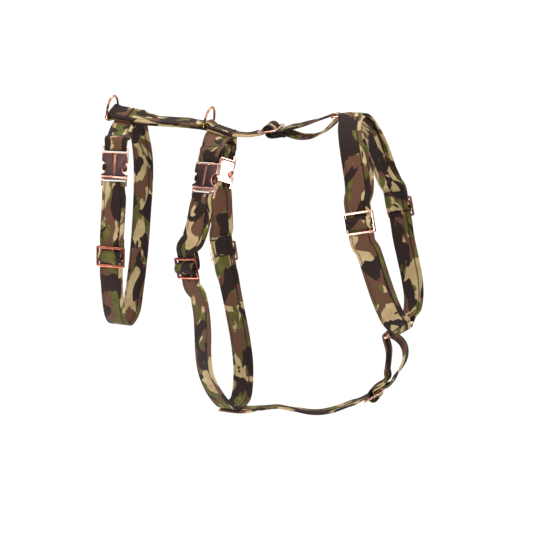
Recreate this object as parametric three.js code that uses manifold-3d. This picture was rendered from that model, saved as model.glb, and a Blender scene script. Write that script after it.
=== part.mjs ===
// A strap harness for a dog: a back strap, two girth loops, a neck loop and a belly strap of fabric-covered
// webbing, with side-release buckles, three-bar sliders, D-rings and three-sided junction rings.
// Millimetres. +X points to the dog's head, +Y to its far side, +Z up. The origin is on the back strap,
// between the two girth loops, at the front D-ring.
import * as THREE from "three";
import { mergeVertices } from "three/addons/utils/BufferGeometryUtils.js";
import Module from "manifold-3d";

const wasm = await Module();
wasm.setup();

// Driving dimensions.
const HARNESS_LENGTH = 320; // rear D-ring to the chest
const HARNESS_WIDTH = 126; // across the front girth loop
const HARNESS_HEIGHT = 300; // back strap to the lowest strap
const WEB_WIDTH = 25;
const WEB_THICK = 2;
const GATHERED_WIDTH = 22.5; // webbing where it is gathered round a junction ring or a buckle's bar
const LAYER_GAP = 0.4; // between two layers of webbing
const SEAT_GAP = 0.3; // between pieces that rest on each other
const SIDE_PLAY = 0.5; // between the webbing's edge and the hardware beside it
const STEP = 7; // between the stations of a strap
const SADDLE = 30; // length of the flat stretch of the back strap, between the girth loops

const D_WIRE = 2.4; // wire diameter of a D-ring
const D_HEIGHT = 19; // from its bar to the top of its bow
const D_LEAN = 4; // degrees by which the rear D-ring leans forwards at rest

const RING_WIRE = 3.2; // wire diameter of a junction ring
const RING_SIDE = 37; // one side of its centre line, measured to the sharp corner
const RING_CORNER = 3;
const CHEST_RING_TILT = 30; // degrees, front up

const SLIDER_BAR = 2.2; // width of a bar of a slider
const SLIDER_THICK = 2;
const SLIDER_LENGTH = 22; // along the webbing
const SLIDER_CLEAR = 0.6; // between the end bars and the webbing behind them

const BUCKLE_BAR = 2.4; // square bar that carries the webbing
const BUCKLE_THICK = 7;
const BUCKLE_SIDE = 1.6; // frame beside the webbing
const HOUSING_BODY = 25.4; // length of the housing below its webbing slot
const SHOULDER = 2.8; // length of the plug's shoulder
const BUCKLE_WALL = 1.2; // housing above and below the plug
const BUCKLE_RUN = 0.5; // clearance inside the housing
const PLATE_THICK = 0.8;
const CUT_RADIUS = 6.4; // side cut-outs of the housing
const CUT_DEPTH = 4.9;
const KNUCKLE = 1.9; // radius of the knuckle that a release arm turns on

const PITCH = WEB_THICK + LAYER_GAP; // from one layer of webbing to the next
const OUTER = PITCH / 2;
const INNER = -PITCH / 2;
const SLOT = WEB_WIDTH + 2 * SIDE_PLAY;
const BUCKLE_SLOT = GATHERED_WIDTH + 2 * SIDE_PLAY;
const RAD = Math.PI / 180;

// Materials.
const CLOTH = new THREE.MeshStandardMaterial({ color: 0x6f6844, roughness: 0.95, metalness: 0 });
const ROSE_GOLD = new THREE.MeshStandardMaterial({ color: 0xd8957a, roughness: 0.18, metalness: 1 });
const DARK_PLATE = new THREE.MeshStandardMaterial({ color: 0x413034, roughness: 0.45, metalness: 0.2 });
const INLAY = new THREE.MeshStandardMaterial({ color: 0xb07860, roughness: 0.3, metalness: 1 });

const harness = new THREE.Group();

function add(name, geometry, material, frame) {
  const mesh = new THREE.Mesh(geometry, material);
  mesh.name = name;
  if (frame) {
    mesh.applyMatrix4(frame);
  }
  harness.add(mesh);
  return mesh;
}

// ---------------------------------------------------------------- routes

// A point of the harness, given at its drawn size of 320 by 126 by 300 and carried to the size set above.
function place(x, y, z) {
  return new THREE.Vector3((x * HARNESS_LENGTH) / 320, (y * HARNESS_WIDTH) / 126, (z * HARNESS_HEIGHT) / 300);
}

// A unit vector across the webbing: yaw turns it about +Z from +X, tilt lifts it. Degrees.
function across(yaw, tilt) {
  return new THREE.Vector3(
    Math.cos(tilt * RAD) * Math.cos(yaw * RAD),
    Math.cos(tilt * RAD) * Math.sin(yaw * RAD),
    Math.sin(tilt * RAD),
  );
}

// One point of a route: where the webbing's middle plane runs, and its direction across, as yaw and tilt or
// as a vector.
function via(point, yaw, tilt = 0) {
  return { point, across: typeof yaw === "number" ? across(yaw, tilt) : yaw.clone() };
}

function smooth(x) {
  const u = Math.min(1, Math.max(0, x));
  return u * u * (3 - 2 * u);
}

// A smooth line through its points, with the direction across the webbing carried along it. Straps are laid
// on it at offsets: outwards from the dog, and sideways. It runs straight and flat where hardware sits.
class Route {
  constructor(points, turn = 1) {
    this.line = new THREE.CatmullRomCurve3(points.map((p) => p.point), false, "centripetal");
    this.side = new THREE.CatmullRomCurve3(points.map((p) => p.across.clone().multiplyScalar(turn)));
    this.steps = (points.length - 1) * 30;
    this.table = [0];
    this.zones = [];
    for (let i = 1; i <= this.steps; i++) {
      const before = this.line.getPoint((i - 1) / this.steps);
      this.table.push(this.table[i - 1] + before.distanceTo(this.line.getPoint(i / this.steps)));
    }
    this.length = this.table[this.steps];
  }

  // The share of the line that lies before a distance along it.
  share(s) {
    let i = 1;
    while (i < this.steps && this.table[i] < s) {
      i++;
    }
    return (i - 1 + (s - this.table[i - 1]) / (this.table[i] - this.table[i - 1])) / this.steps;
  }

  bare(s) {
    const inside = Math.min(this.length, Math.max(0, s));
    const u = this.share(inside);
    const t = this.line.getTangent(u);
    const p = this.line.getPoint(u).addScaledVector(t, s - inside);
    const w = this.side.getPoint(u);
    w.addScaledVector(t, -w.dot(t)).normalize();
    return { p, t, w, n: new THREE.Vector3().crossVectors(t, w) };
  }

  // Keeps the route straight and untwisted for half a length each way from s, and eases it in and out.
  hold(s, half, ease = 12) {
    this.zones.push({ s, half, ease, frame: this.bare(s) });
  }

  at(s) {
    const here = this.bare(s);
    for (const zone of this.zones) {
      const far = Math.abs(s - zone.s) - zone.half;
      if (far < zone.ease) {
        const k = 1 - smooth(far / zone.ease);
        const straight = zone.frame.p.clone().addScaledVector(zone.frame.t, s - zone.s);
        here.p.lerp(straight, k);
        here.t.lerp(zone.frame.t, k).normalize();
        here.w.lerp(zone.frame.w, k);
        here.w.addScaledVector(here.t, -here.w.dot(here.t)).normalize();
        here.n.crossVectors(here.t, here.w);
      }
    }
    return here;
  }

  // A station of webbing at a distance s, lifted outwards and shifted sideways, of its own width.
  station(s, lift, shift = 0, width = WEB_WIDTH) {
    const f = this.at(s);
    return { p: f.p.addScaledVector(f.n, lift).addScaledVector(f.w, shift), w: f.w, half: width / 2 };
  }

  // The matrix of a piece of hardware: x across the webbing, y back along it, z outwards from the dog.
  matrix(s, lift = 0) {
    const f = this.at(s);
    const m = new THREE.Matrix4().makeBasis(f.w, f.t.clone().negate(), f.n);
    return m.setPosition(f.p.addScaledVector(f.n, lift));
  }
}

// ---------------------------------------------------------------- webbing

// Stations from one distance to another. lift, shift and width may each be a number or a function of the
// share of the way.
function run(route, from, to, lift, shift = 0, width = WEB_WIDTH) {
  const count = Math.max(2, Math.ceil(Math.abs(to - from) / STEP));
  const value = (v, u) => (typeof v === "function" ? v(u) : v);
  const stations = [];
  for (let i = 0; i <= count; i++) {
    const u = i / count;
    stations.push(route.station(from + (to - from) * u, value(lift, u), value(shift, u), value(width, u)));
  }
  return stations;
}

// Stations round an arc in the plane of the route, in degrees from along the route towards outwards.
function bend(route, s, lift, radius, from, to, shift = 0, width = WEB_WIDTH, count = 8) {
  const stations = [];
  for (let i = 0; i <= count; i++) {
    const angle = (from + ((to - from) * i) / count) * RAD;
    stations.push(
      route.station(s + radius * Math.cos(angle), lift + radius * Math.sin(angle), shift, width),
    );
  }
  return stations;
}

// Stations through points given as [distance from s, lift].
function through(route, s, points, shift = 0) {
  return points.map(([along, lift]) => route.station(s + along, lift, shift));
}

// A closed solid of flat webbing along its stations.
function webbing(stations, thick = WEB_THICK) {
  const corners = [];
  const faces = [];
  const last = stations.length - 1;
  stations.forEach((station, i) => {
    const before = stations[Math.max(0, i - 1)].p;
    const after = stations[Math.min(last, i + 1)].p;
    const t = after.clone().sub(before).normalize();
    const w = station.w.clone().addScaledVector(t, -station.w.dot(t)).normalize();
    const n = new THREE.Vector3().crossVectors(t, w).multiplyScalar(thick / 2);
    w.multiplyScalar(station.half);
    for (const [a, b] of [[-1, -1], [1, -1], [1, 1], [-1, 1]]) {
      corners.push(...station.p.clone().addScaledVector(w, a).addScaledVector(n, b).toArray());
    }
  });
  for (let i = 0; i < last; i++) {
    for (let k = 0; k < 4; k++) {
      const a = 4 * i + k;
      const b = 4 * i + ((k + 1) % 4);
      faces.push(a, b + 4, a + 4, a, b, b + 4);
    }
  }
  const end = 4 * last;
  faces.push(0, 2, 1, 0, 3, 2);
  faces.push(end, end + 1, end + 2, end, end + 2, end + 3);
  return solid(corners, faces);
}

function solid(corners, faces) {
  const geometry = new THREE.BufferGeometry();
  geometry.setAttribute("position", new THREE.Float32BufferAttribute(corners, 3));
  geometry.setIndex(faces);
  geometry.computeVertexNormals();
  return geometry;
}

// How webbing passes a slider. Its bars lie in one plane, lifted off the outer layer. The running layer
// passes behind both end bars and over the centre bar; the sewn end is folded round the centre bar inside.
const BAR_REACH = Math.hypot(SLIDER_BAR, SLIDER_THICK) / 2;
const SLIDER_LIFT = OUTER + WEB_THICK / 2 + SLIDER_CLEAR + SLIDER_THICK / 2;
const END_BAR = (SLIDER_LENGTH - SLIDER_BAR) / 2;
const WRAP = BAR_REACH + SEAT_GAP + WEB_THICK / 2;
const DOME = WRAP + PITCH;
const SLIDER_ZONE = SLIDER_LENGTH / 2 + 3;
const SLIDER_HOLD = SLIDER_ZONE + 4; // half of the straight stretch round a slider
const TAIL = 16; // sewn length of a folded end

function overSlider(route, s) {
  return [
    ...through(route, s, [[-SLIDER_ZONE, OUTER], [-END_BAR, OUTER], [-(DOME + END_BAR) / 2, OUTER + 0.4]]),
    ...bend(route, s, SLIDER_LIFT, DOME, 200, -20),
    ...through(route, s, [[(DOME + END_BAR) / 2, OUTER + 0.4], [END_BAR, OUTER], [SLIDER_ZONE, OUTER]]),
  ];
}

// The sewn end, from the inner layer to its tail, for a slider whose inner layer comes from before it
// (way 1) or from after it (way -1).
function sewnEnd(route, s, way = 1, shift = 0) {
  const wrap = way > 0 ? [200, -20] : [-20, 200];
  const path = (points) => points.map(([along, lift]) => [way * along, lift]);
  const tail = INNER - PITCH - LAYER_GAP / 4;
  return [
    ...through(route, s, path([[-SLIDER_ZONE, INNER], [-END_BAR, INNER], [-6, INNER - 0.2]]), shift),
    ...through(route, s, path([[-3.4, INNER + PITCH / 3]])),
    ...bend(route, s, SLIDER_LIFT, WRAP, ...wrap),
    ...through(route, s, path([[2.6, OUTER - 0.6], [1.6, INNER - 0.5], [-1, INNER - 1.9], [-5, tail]])),
    ...through(route, s, path([[-SLIDER_ZONE, tail], [-TAIL - 2, tail]]), shift),
  ];
}

// ---------------------------------------------------------------- hardware

// A closed loop of round wire along a flat outline, in its own x-y plane.
function wireLoop(outline, diameter, sides = 8) {
  const corners = [];
  const faces = [];
  const count = outline.length;
  outline.forEach((point, i) => {
    const t = outline[(i + 1) % count].clone().sub(outline[(i + count - 1) % count]).normalize();
    for (let k = 0; k < sides; k++) {
      const angle = (2 * Math.PI * (k + 0.5)) / sides;
      const out = (diameter / 2) * Math.cos(angle);
      corners.push(point.x + t.y * out, point.y - t.x * out, (diameter / 2) * Math.sin(angle));
    }
  });
  for (let i = 0; i < count; i++) {
    for (let k = 0; k < sides; k++) {
      const a = i * sides + k;
      const b = i * sides + ((k + 1) % sides);
      const c = ((i + 1) % count) * sides + k;
      const d = ((i + 1) % count) * sides + ((k + 1) % sides);
      faces.push(a, d, b, a, c, d);
    }
  }
  return solid(corners, faces);
}

// A point at an angle in degrees round a centre.
function polar(x, y, radius, angle) {
  return new THREE.Vector2(x + radius * Math.cos(angle * RAD), y + radius * Math.sin(angle * RAD));
}

// A D-ring: a straight bar through the webbing and a bow over it, with the bar's middle at the origin.
function dRing() {
  const half = SLOT / 2 + D_WIRE / 2;
  const corner = 1.8;
  const outline = [];
  for (let i = 0; i <= 3; i++) {
    outline.push(polar(half - corner, corner, corner, -90 + 30 * i));
  }
  for (let i = 1; i <= 15; i++) {
    const angle = (180 * i) / 16;
    outline.push(
      new THREE.Vector2(half * Math.cos(angle * RAD), corner + (D_HEIGHT - corner) * Math.sin(angle * RAD)),
    );
  }
  for (let i = 0; i <= 3; i++) {
    outline.push(polar(-half + corner, corner, corner, 180 + 30 * i));
  }
  return wireLoop(outline, D_WIRE);
}

// A three-sided ring round the origin. Its sides face -x, and 60 degrees each side of +x.
const RING_REACH = RING_SIDE / (2 * Math.sqrt(3)); // from the centre to a side
function junctionRing() {
  const outline = [];
  for (const heading of [0, 120, 240]) {
    const centre = polar(0, 0, 2 * (RING_REACH - RING_CORNER), heading);
    for (let i = 0; i <= 4; i++) {
      outline.push(polar(centre.x, centre.y, RING_CORNER, heading - 60 + 30 * i));
    }
  }
  return wireLoop(outline, RING_WIRE);
}

function plate(shape, low, high) {
  const geometry = new THREE.ExtrudeGeometry(shape, { depth: high - low, bevelEnabled: false, curveSegments: 8 });
  return geometry.translate(0, 0, low);
}

function rectangle(target, x0, y0, x1, y1) {
  target.moveTo(x0, y0).lineTo(x1, y0).lineTo(x1, y1).lineTo(x0, y1).lineTo(x0, y0);
  return target;
}

// A three-bar slider, flat, with its centre bar at the origin.
function slider() {
  const halfWidth = SLOT / 2 + SLIDER_BAR;
  const shape = rectangle(new THREE.Shape(), -halfWidth, -SLIDER_LENGTH / 2, halfWidth, SLIDER_LENGTH / 2);
  for (const way of [-1, 1]) {
    const near = (way * SLIDER_BAR) / 2;
    const far = way * (END_BAR - SLIDER_BAR / 2);
    shape.holes.push(
      rectangle(new THREE.Path(), -SLOT / 2, Math.min(near, far), SLOT / 2, Math.max(near, far)),
    );
  }
  return plate(shape, -SLIDER_THICK / 2, SLIDER_THICK / 2);
}

function toManifold(geometry) {
  const bare = geometry.clone();
  bare.deleteAttribute("normal");
  bare.deleteAttribute("uv");
  const merged = mergeVertices(bare, 1e-4);
  return new wasm.Manifold(
    new wasm.Mesh({
      numProp: 3,
      vertProperties: merged.attributes.position.array,
      triVerts: new Uint32Array(merged.index.array),
    }),
  );
}

function fromManifold(made) {
  const mesh = made.getMesh();
  return solid(Array.from(mesh.vertProperties), Array.from(mesh.triVerts));
}

// The buckle, in its own frame: y runs up the strap, z outwards. FOLD is the radius of the webbing round a bar.
const FOLD = (BUCKLE_BAR * Math.SQRT2) / 2 + SEAT_GAP + WEB_THICK / 2;
const BAR_TO_BODY = FOLD + WEB_THICK / 2 + 1.4;
const BODY_TOP = HOUSING_BODY / 2;
const TOP_BAR = BODY_TOP + BAR_TO_BODY;
const BODY_BOTTOM = -HOUSING_BODY / 2;
const SHOULDER_TOP = BODY_BOTTOM - BUCKLE_RUN;
const SHOULDER_BOTTOM = SHOULDER_TOP - SHOULDER;
const BOTTOM_BAR = SHOULDER_BOTTOM - BAR_TO_BODY;
const BUCKLE_HALF = BUCKLE_SLOT / 2 + BUCKLE_SIDE;
const CAVITY_HALF = BUCKLE_HALF - 2.9;
const CAVITY_TOP = BODY_TOP - 7.4;
const PLUG_HALF_THICK = BUCKLE_THICK / 2 - BUCKLE_WALL - BUCKLE_RUN / 2;
const CUT_X = BUCKLE_HALF - CUT_DEPTH + CUT_RADIUS;
const CUT_Y = BODY_BOTTOM + 9;
const KNUCKLE_X = BUCKLE_HALF - 6.5;
const KNUCKLE_Y = BODY_BOTTOM + 2.6;
const BLOCK_TOP = KNUCKLE_Y + 1.6;

function housing() {
  const shape = rectangle(new THREE.Shape(), -BUCKLE_HALF, BODY_BOTTOM, BUCKLE_HALF, TOP_BAR + BUCKLE_BAR / 2);
  shape.holes.push(
    rectangle(new THREE.Path(), -BUCKLE_SLOT / 2, BODY_TOP, BUCKLE_SLOT / 2, TOP_BAR - BUCKLE_BAR / 2),
  );
  let made = toManifold(plate(shape, -BUCKLE_THICK / 2, BUCKLE_THICK / 2));
  for (const side of [-1, 1]) {
    const cutter = new THREE.CylinderGeometry(CUT_RADIUS, CUT_RADIUS, 2 * BUCKLE_THICK, 28);
    cutter.rotateX(Math.PI / 2).translate(side * CUT_X, CUT_Y, 0);
    made = made.subtract(toManifold(cutter));
  }
  const cavityHeight = CAVITY_TOP - BODY_BOTTOM + 2;
  const cavity = new THREE.BoxGeometry(2 * CAVITY_HALF, cavityHeight, BUCKLE_THICK - 2 * BUCKLE_WALL);
  cavity.translate(0, CAVITY_TOP - cavityHeight / 2, 0);
  made = made.subtract(toManifold(cavity));
  const reach = TOP_BAR + BUCKLE_BAR - BODY_TOP;
  return fromManifold(thinned(made, BODY_TOP + reach / 2, reach, BUCKLE_THICK / 2));
}

// The frame beside the webbing and its bar are thinner than the body: cuts them down to the bar's thickness
// over a length round y, from both faces.
function thinned(body, y, length, halfThick) {
  let made = body;
  for (const face of [-1, 1]) {
    const relief = new THREE.BoxGeometry(3 * BUCKLE_HALF, length, halfThick);
    relief.translate(0, y, (face * (BUCKLE_BAR + halfThick)) / 2);
    made = made.subtract(toManifold(relief));
  }
  return made;
}

const BROW = 2; // bare edge of the housing above its faceplate

// An outline with the two side cut-outs of the housing, drawn in from its edge by a margin, and further below
// the bright brow along its top.
function faceOutline(margin) {
  const x = BUCKLE_HALF - margin;
  const y0 = BODY_BOTTOM + margin;
  const y1 = BODY_TOP - BROW;
  const radius = CUT_RADIUS + margin;
  const reach = Math.acos((CUT_X - x) / radius) / RAD;
  const shape = new THREE.Shape();
  shape.moveTo(-x, y0);
  shape.lineTo(x, y0);
  for (let i = 0; i <= 8; i++) {
    const p = polar(CUT_X, CUT_Y, radius, 180 + reach - (2 * reach * i) / 8);
    shape.lineTo(p.x, p.y);
  }
  shape.lineTo(x, y1);
  shape.lineTo(-x, y1);
  for (let i = 0; i <= 8; i++) {
    const p = polar(-CUT_X, CUT_Y, radius, reach - (2 * reach * i) / 8);
    shape.lineTo(p.x, p.y);
  }
  return shape;
}

const INLAY_HALF = 1.3;
const INLAY_TOP = BODY_TOP - BROW - 1;
const INLAY_BOTTOM = BODY_BOTTOM + 2.2;
const PLATE_LOW = BUCKLE_THICK / 2 + SEAT_GAP;

function faceplate() {
  const shape = faceOutline(0.9);
  const g = SEAT_GAP;
  shape.holes.push(
    rectangle(new THREE.Path(), -INLAY_HALF - g, INLAY_BOTTOM - g, INLAY_HALF + g, INLAY_TOP + g),
  );
  return plate(shape, PLATE_LOW, PLATE_LOW + PLATE_THICK);
}

function inlay() {
  const shape = rectangle(new THREE.Shape(), -INLAY_HALF, INLAY_BOTTOM, INLAY_HALF, INLAY_TOP);
  return plate(shape, PLATE_LOW, PLATE_LOW + PLATE_THICK + 0.15);
}

// The plug: a shoulder and webbing frame below the housing, a block with two sockets and a tongue inside it.
function plug() {
  const block = CAVITY_HALF - BUCKLE_RUN;
  const tongue = 3;
  const socket = KNUCKLE + SEAT_GAP;
  const open = Math.acos((BLOCK_TOP - KNUCKLE_Y) / socket) / RAD;
  const shape = new THREE.Shape();
  shape.moveTo(-BUCKLE_HALF, BOTTOM_BAR - BUCKLE_BAR / 2);
  shape.lineTo(BUCKLE_HALF, BOTTOM_BAR - BUCKLE_BAR / 2);
  shape.lineTo(BUCKLE_HALF, SHOULDER_TOP);
  shape.lineTo(block, SHOULDER_TOP);
  shape.lineTo(block, BLOCK_TOP);
  for (const side of [1, -1]) {
    if (side < 0) {
      shape.lineTo(tongue, BLOCK_TOP);
      shape.lineTo(tongue, CAVITY_TOP - 3);
      shape.lineTo(-tongue, CAVITY_TOP - 3);
      shape.lineTo(-tongue, BLOCK_TOP);
    }
    for (let i = 0; i <= 12; i++) {
      const p = polar(side * KNUCKLE_X, KNUCKLE_Y, socket, 90 - open - ((360 - 2 * open) * i) / 12);
      shape.lineTo(p.x, p.y);
    }
  }
  shape.lineTo(-block, BLOCK_TOP);
  shape.lineTo(-block, SHOULDER_TOP);
  shape.lineTo(-BUCKLE_HALF, SHOULDER_TOP);
  shape.holes.push(
    rectangle(new THREE.Path(), -BUCKLE_SLOT / 2, BOTTOM_BAR + BUCKLE_BAR / 2, BUCKLE_SLOT / 2, SHOULDER_BOTTOM),
  );
  const reach = SHOULDER_BOTTOM - BOTTOM_BAR + BUCKLE_BAR;
  const made = plate(shape, -PLUG_HALF_THICK, PLUG_HALF_THICK);
  return fromManifold(thinned(toManifold(made), SHOULDER_BOTTOM - reach / 2, reach, PLUG_HALF_THICK));
}

// A release arm, for the +x side: a knuckle in the plug's socket, a neck, and a blade whose pad fills the cut-out.
function releaseArm(side) {
  const x = KNUCKLE_X;
  const y = KNUCKLE_Y;
  const blade = [
    [x + 0.8, y + 2],
    [x + 2.8, y + 2.8],
    [x + 5.6, y + 4],
    [x + 6.1, y + 6.6],
    [x + 5.6, y + 9.6],
    [x + 3.3, y + 11.2],
    [x + 3.1, y + 14.2],
    [x + 1.5, y + 14.7],
    [x + 0.3, y + 12.2],
    [x - 0.8, y + 6.2],
    [x - 0.8, y + 2],
  ];
  const shape = new THREE.Shape();
  blade.forEach(([bx, by], i) => (i ? shape.lineTo(bx, by) : shape.moveTo(bx, by)));
  const start = Math.acos(-0.8 / KNUCKLE) / RAD;
  for (let i = 0; i <= 12; i++) {
    const p = polar(x, y, KNUCKLE, start + ((450 - 2 * start + 90) % 360) * (i / 12));
    shape.lineTo(p.x, p.y);
  }
  const made = plate(shape, -PLUG_HALF_THICK, PLUG_HALF_THICK);
  return side > 0 ? made : made.rotateY(Math.PI);
}

function addBuckle(name, frame) {
  add(name + "_housing", housing(), ROSE_GOLD, frame);
  add(name + "_faceplate", faceplate(), DARK_PLATE, frame);
  add(name + "_inlay", inlay(), INLAY, frame);
  add(name + "_plug", plug(), ROSE_GOLD, frame);
  add(name + "_arm_a", releaseArm(1), ROSE_GOLD, frame);
  add(name + "_arm_b", releaseArm(-1), ROSE_GOLD, frame);
}

// ---------------------------------------------------------------- straps

// Webbing folded round a bar at a distance s, from one layer to the other. way 1 folds at the route's far
// side of the bar, way -1 at its near side. It starts on the layer named by from.
function foldRound(route, s, radius, way, from, width = WEB_WIDTH) {
  const start = from > 0 ? 90 : -90;
  const end = from > 0 ? 90 - way * 180 : -90 + way * 180;
  return bend(route, s, 0, radius, start, end, 0, width, 6);
}

// Layers that spread from one lift to another over a length.
const spread = (a, b) => (u) => a + (b - a) * smooth(u);

// A layer that bows away from the other between two ends, most of all towards its end where skew is over 1.
const bowed = (a, b, bow, skew = 1) => (u) => a + (b - a) * u + bow * Math.sin(Math.PI * u ** skew);

const EASE = 14; // length over which two layers close up beside a bar
const D_EASE = 6; // the same beside the rear D-ring

// The back strap: from its lower layer, round the rear D-ring, forwards over the front D-ring and the slider,
// round the withers ring and back to the slider's centre bar.
const withers = place(146.5, 0, 13);
const backRoute = new Route([
  via(place(-116, 0, 14), 96, 30),
  via(place(-91, 0, 10.5), 93, 26),
  via(place(-67, 0, 6), 92, 16),
  via(place(-33, 0, 4), 90, 10),
  via(place(-3, 0, 1), 90, 8),
  via(place(14, 0, -4), 90, 5),
  via(place(30, 0, -8), 90, 4),
  via(place(48, 0, -7.5), 92, 5),
  via(place(65, 0, -4.5), 94, 8),
  via(place(79, 0, -2.5), 94, 8),
  via(place(90, 0, -1.5), 93, 8),
  via(place(104, 0, 0.5), 92, 8),
  via(place(118, 0, 4.5), 90, 4),
  via(place(128, 0, 9), 90, 2),
  via(withers.clone().add(new THREE.Vector3(-RING_REACH, 0, 0)), 90, 0),
]);

// Distance along a route at which it passes a given x.
function reachOf(route, x) {
  let s = 0;
  while (s < route.length && route.bare(s).p.x < x) {
    s += 0.25;
  }
  return s;
}

const rearRingAt = 3;
const frontRingAt = reachOf(backRoute, place(-3, 0, 0).x);
const rearTabAt = reachOf(backRoute, place(-94, 0, 0).x);
const frontTabAt = reachOf(backRoute, place(12.5, 0, 0).x);
const backSliderAt = reachOf(backRoute, place(67, 0, 0).x);
const backTackAt = frontTabAt + 15;
const saddleAt = reachOf(backRoute, place(-45, 0, 0).x);
backRoute.hold(backSliderAt, SLIDER_HOLD);
backRoute.hold(saddleAt, SADDLE / 2, 12);
backRoute.hold(rearTabAt, WEB_WIDTH / 2, 6);
backRoute.hold(frontTabAt, WEB_WIDTH / 2, 6);

const D_FOLD = D_WIRE / 2 + LAYER_GAP + WEB_THICK / 2;
const FRONT_RING_LIFT = INNER + WEB_THICK / 2 + LAYER_GAP + D_WIRE / 2;
const HUMP = FRONT_RING_LIFT + D_FOLD;
const RING_FOLD = RING_WIRE / 2 + LAYER_GAP + WEB_THICK / 2;

// Webbing narrows towards a ring or a buckle.
const narrowing = (u) => WEB_WIDTH + (GATHERED_WIDTH - WEB_WIDTH) * smooth(u);
const widening = (u) => narrowing(1 - u);

function backStrap() {
  const loopStart = backSliderAt + SLIDER_ZONE;
  const loopEnd = backRoute.length;
  return [
    ...run(backRoute, backTackAt, rearRingAt + D_EASE, INNER),
    ...run(backRoute, rearRingAt + D_EASE, rearRingAt, spread(INNER, -D_FOLD)).slice(1, -1),
    ...foldRound(backRoute, rearRingAt, D_FOLD, -1, -1),
    ...run(backRoute, rearRingAt, rearRingAt + D_EASE, spread(D_FOLD, OUTER)).slice(1, -1),
    ...run(backRoute, rearRingAt + D_EASE, frontRingAt - 7, OUTER),
    ...run(backRoute, frontRingAt - 7, frontRingAt, spread(OUTER, HUMP)).slice(1, -1),
    ...run(backRoute, frontRingAt, frontRingAt + 7, spread(HUMP, OUTER)).slice(0, -1),
    ...run(backRoute, frontRingAt + 7, backSliderAt - SLIDER_ZONE, OUTER).slice(0, -1),
    ...overSlider(backRoute, backSliderAt),
    ...run(backRoute, loopStart, loopEnd, bowed(OUTER, RING_FOLD, 3), 0, narrowing).slice(1, -1),
    ...foldRound(backRoute, loopEnd, RING_FOLD, 1, 1, GATHERED_WIDTH),
    ...run(backRoute, loopEnd, loopStart, bowed(-RING_FOLD, INNER, -7), 0, widening).slice(1, -1),
    ...sewnEnd(backRoute, backSliderAt, -1),
  ];
}

// A point of a route that lies under the back strap, a distance across it. The straps that hang from the
// back strap start here.
function underBack(s, sideways) {
  const f = backRoute.at(s);
  const lift = INNER - PITCH - OUTER - SEAT_GAP;
  return via(f.p.addScaledVector(f.n, lift).addScaledVector(f.w, sideways), f.t);
}

const TAB_EDGE = WEB_WIDTH / 2 - 1;
const TAB_MIDDLE = TAB_EDGE / 2;
const START_GAP = SEAT_GAP / 2;

// The rear girth loop: down the near side, round the bottom and up the far side.
const rearRoute = new Route([
  underBack(rearTabAt, -START_GAP),
  underBack(rearTabAt, -TAB_MIDDLE),
  underBack(rearTabAt, -TAB_EDGE),
  via(place(-91, -32, -10), 4, -7),
  via(place(-88.5, -46, -23), 12, -7),
  via(place(-87.5, -53, -45), 18, -4),
  via(place(-88, -55, -75), 18, 0),
  via(place(-90, -56, -105), 14, 0),
  via(place(-92.5, -54, -135), 8, 0),
  via(place(-94, -51, -160), 3, 0),
  via(place(-96.5, -43, -185), 2, 0),
  via(place(-101, -28, -205), -2, 0),
  via(place(-105, -10, -215.5), -7, 0),
  via(place(-106, 4, -217), -10, 0),
  via(place(-106, 20, -209), -12, 0),
  via(place(-108, 34, -192), -13, 3),
  via(place(-109, 45, -170), -12, 4),
  via(place(-108, 52, -140), -12, 5),
  via(place(-106, 56, -100), -12, 4),
  via(place(-103, 55, -65), -8, 4),
  via(place(-100, 48, -38), -9, 4),
  via(place(-97, 33, -12), -14, 0),
  underBack(rearTabAt, TAB_EDGE),
  underBack(rearTabAt, TAB_MIDDLE),
  underBack(rearTabAt, START_GAP),
]);

// The front girth loop, near and far side, down to the keel where the two ends meet.
const keel = place(23, 0, -301);
const frontNearRoute = new Route([
  underBack(frontTabAt, -START_GAP),
  underBack(frontTabAt, -TAB_MIDDLE),
  underBack(frontTabAt, -TAB_EDGE),
  via(place(15, -32, -17), -10, -7),
  via(place(15.5, -46, -31), -13, -8),
  via(place(14.5, -52, -46), -14, -11),
  via(place(13, -56, -62), -11, -12),
  via(place(11, -60, -78), -4, -10),
  via(place(8, -62, -96), -3, -7),
  via(place(2, -63, -115), -12, -4),
  via(place(-2, -63, -133), -21, 0),
  via(place(1, -62, -150), -25, 6),
  via(place(8, -62, -166), -27, 10),
  via(place(12, -62, -186), -27, 6),
  via(place(13, -61, -206), -27, 4),
  via(place(12, -58, -228), -30, 4),
  via(place(12, -52, -250), -31, 4),
  via(place(14, -40, -270), -28, 8),
  via(place(18, -24, -289), -20, 6),
  via(place(22, -11, -300), -10, 0),
  via(keel.clone().add(new THREE.Vector3(0, -START_GAP, 0)), 0, 0),
]);

const frontFarRoute = new Route(
  [
    underBack(frontTabAt, START_GAP),
    underBack(frontTabAt, TAB_MIDDLE),
    underBack(frontTabAt, TAB_EDGE),
    via(place(4, 32, -22), -7, 4),
    via(place(-3, 46, -40), -6, 4),
    via(place(-9, 55, -62), -3, 4),
    via(place(-11, 60, -88), 1, 3),
    via(place(-11, 63, -118), 8, 2),
    via(place(-11, 64, -141), 10, 4),
    via(place(-7, 64, -161), 8, 5),
    via(place(-3, 63, -180), -4, 5),
    via(place(3, 61, -206), -8, 8),
    via(place(11, 57, -239), -7, 8),
    via(place(17, 50, -266), -7, 7),
    via(place(21, 38, -286), -9, 6),
    via(place(24, 22, -298), -12, 3),
    via(place(23.5, 11, -300.5), -8, 0),
    via(keel.clone().add(new THREE.Vector3(0, START_GAP, 0)), 0, 0),
  ],
  -1,
);

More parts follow.
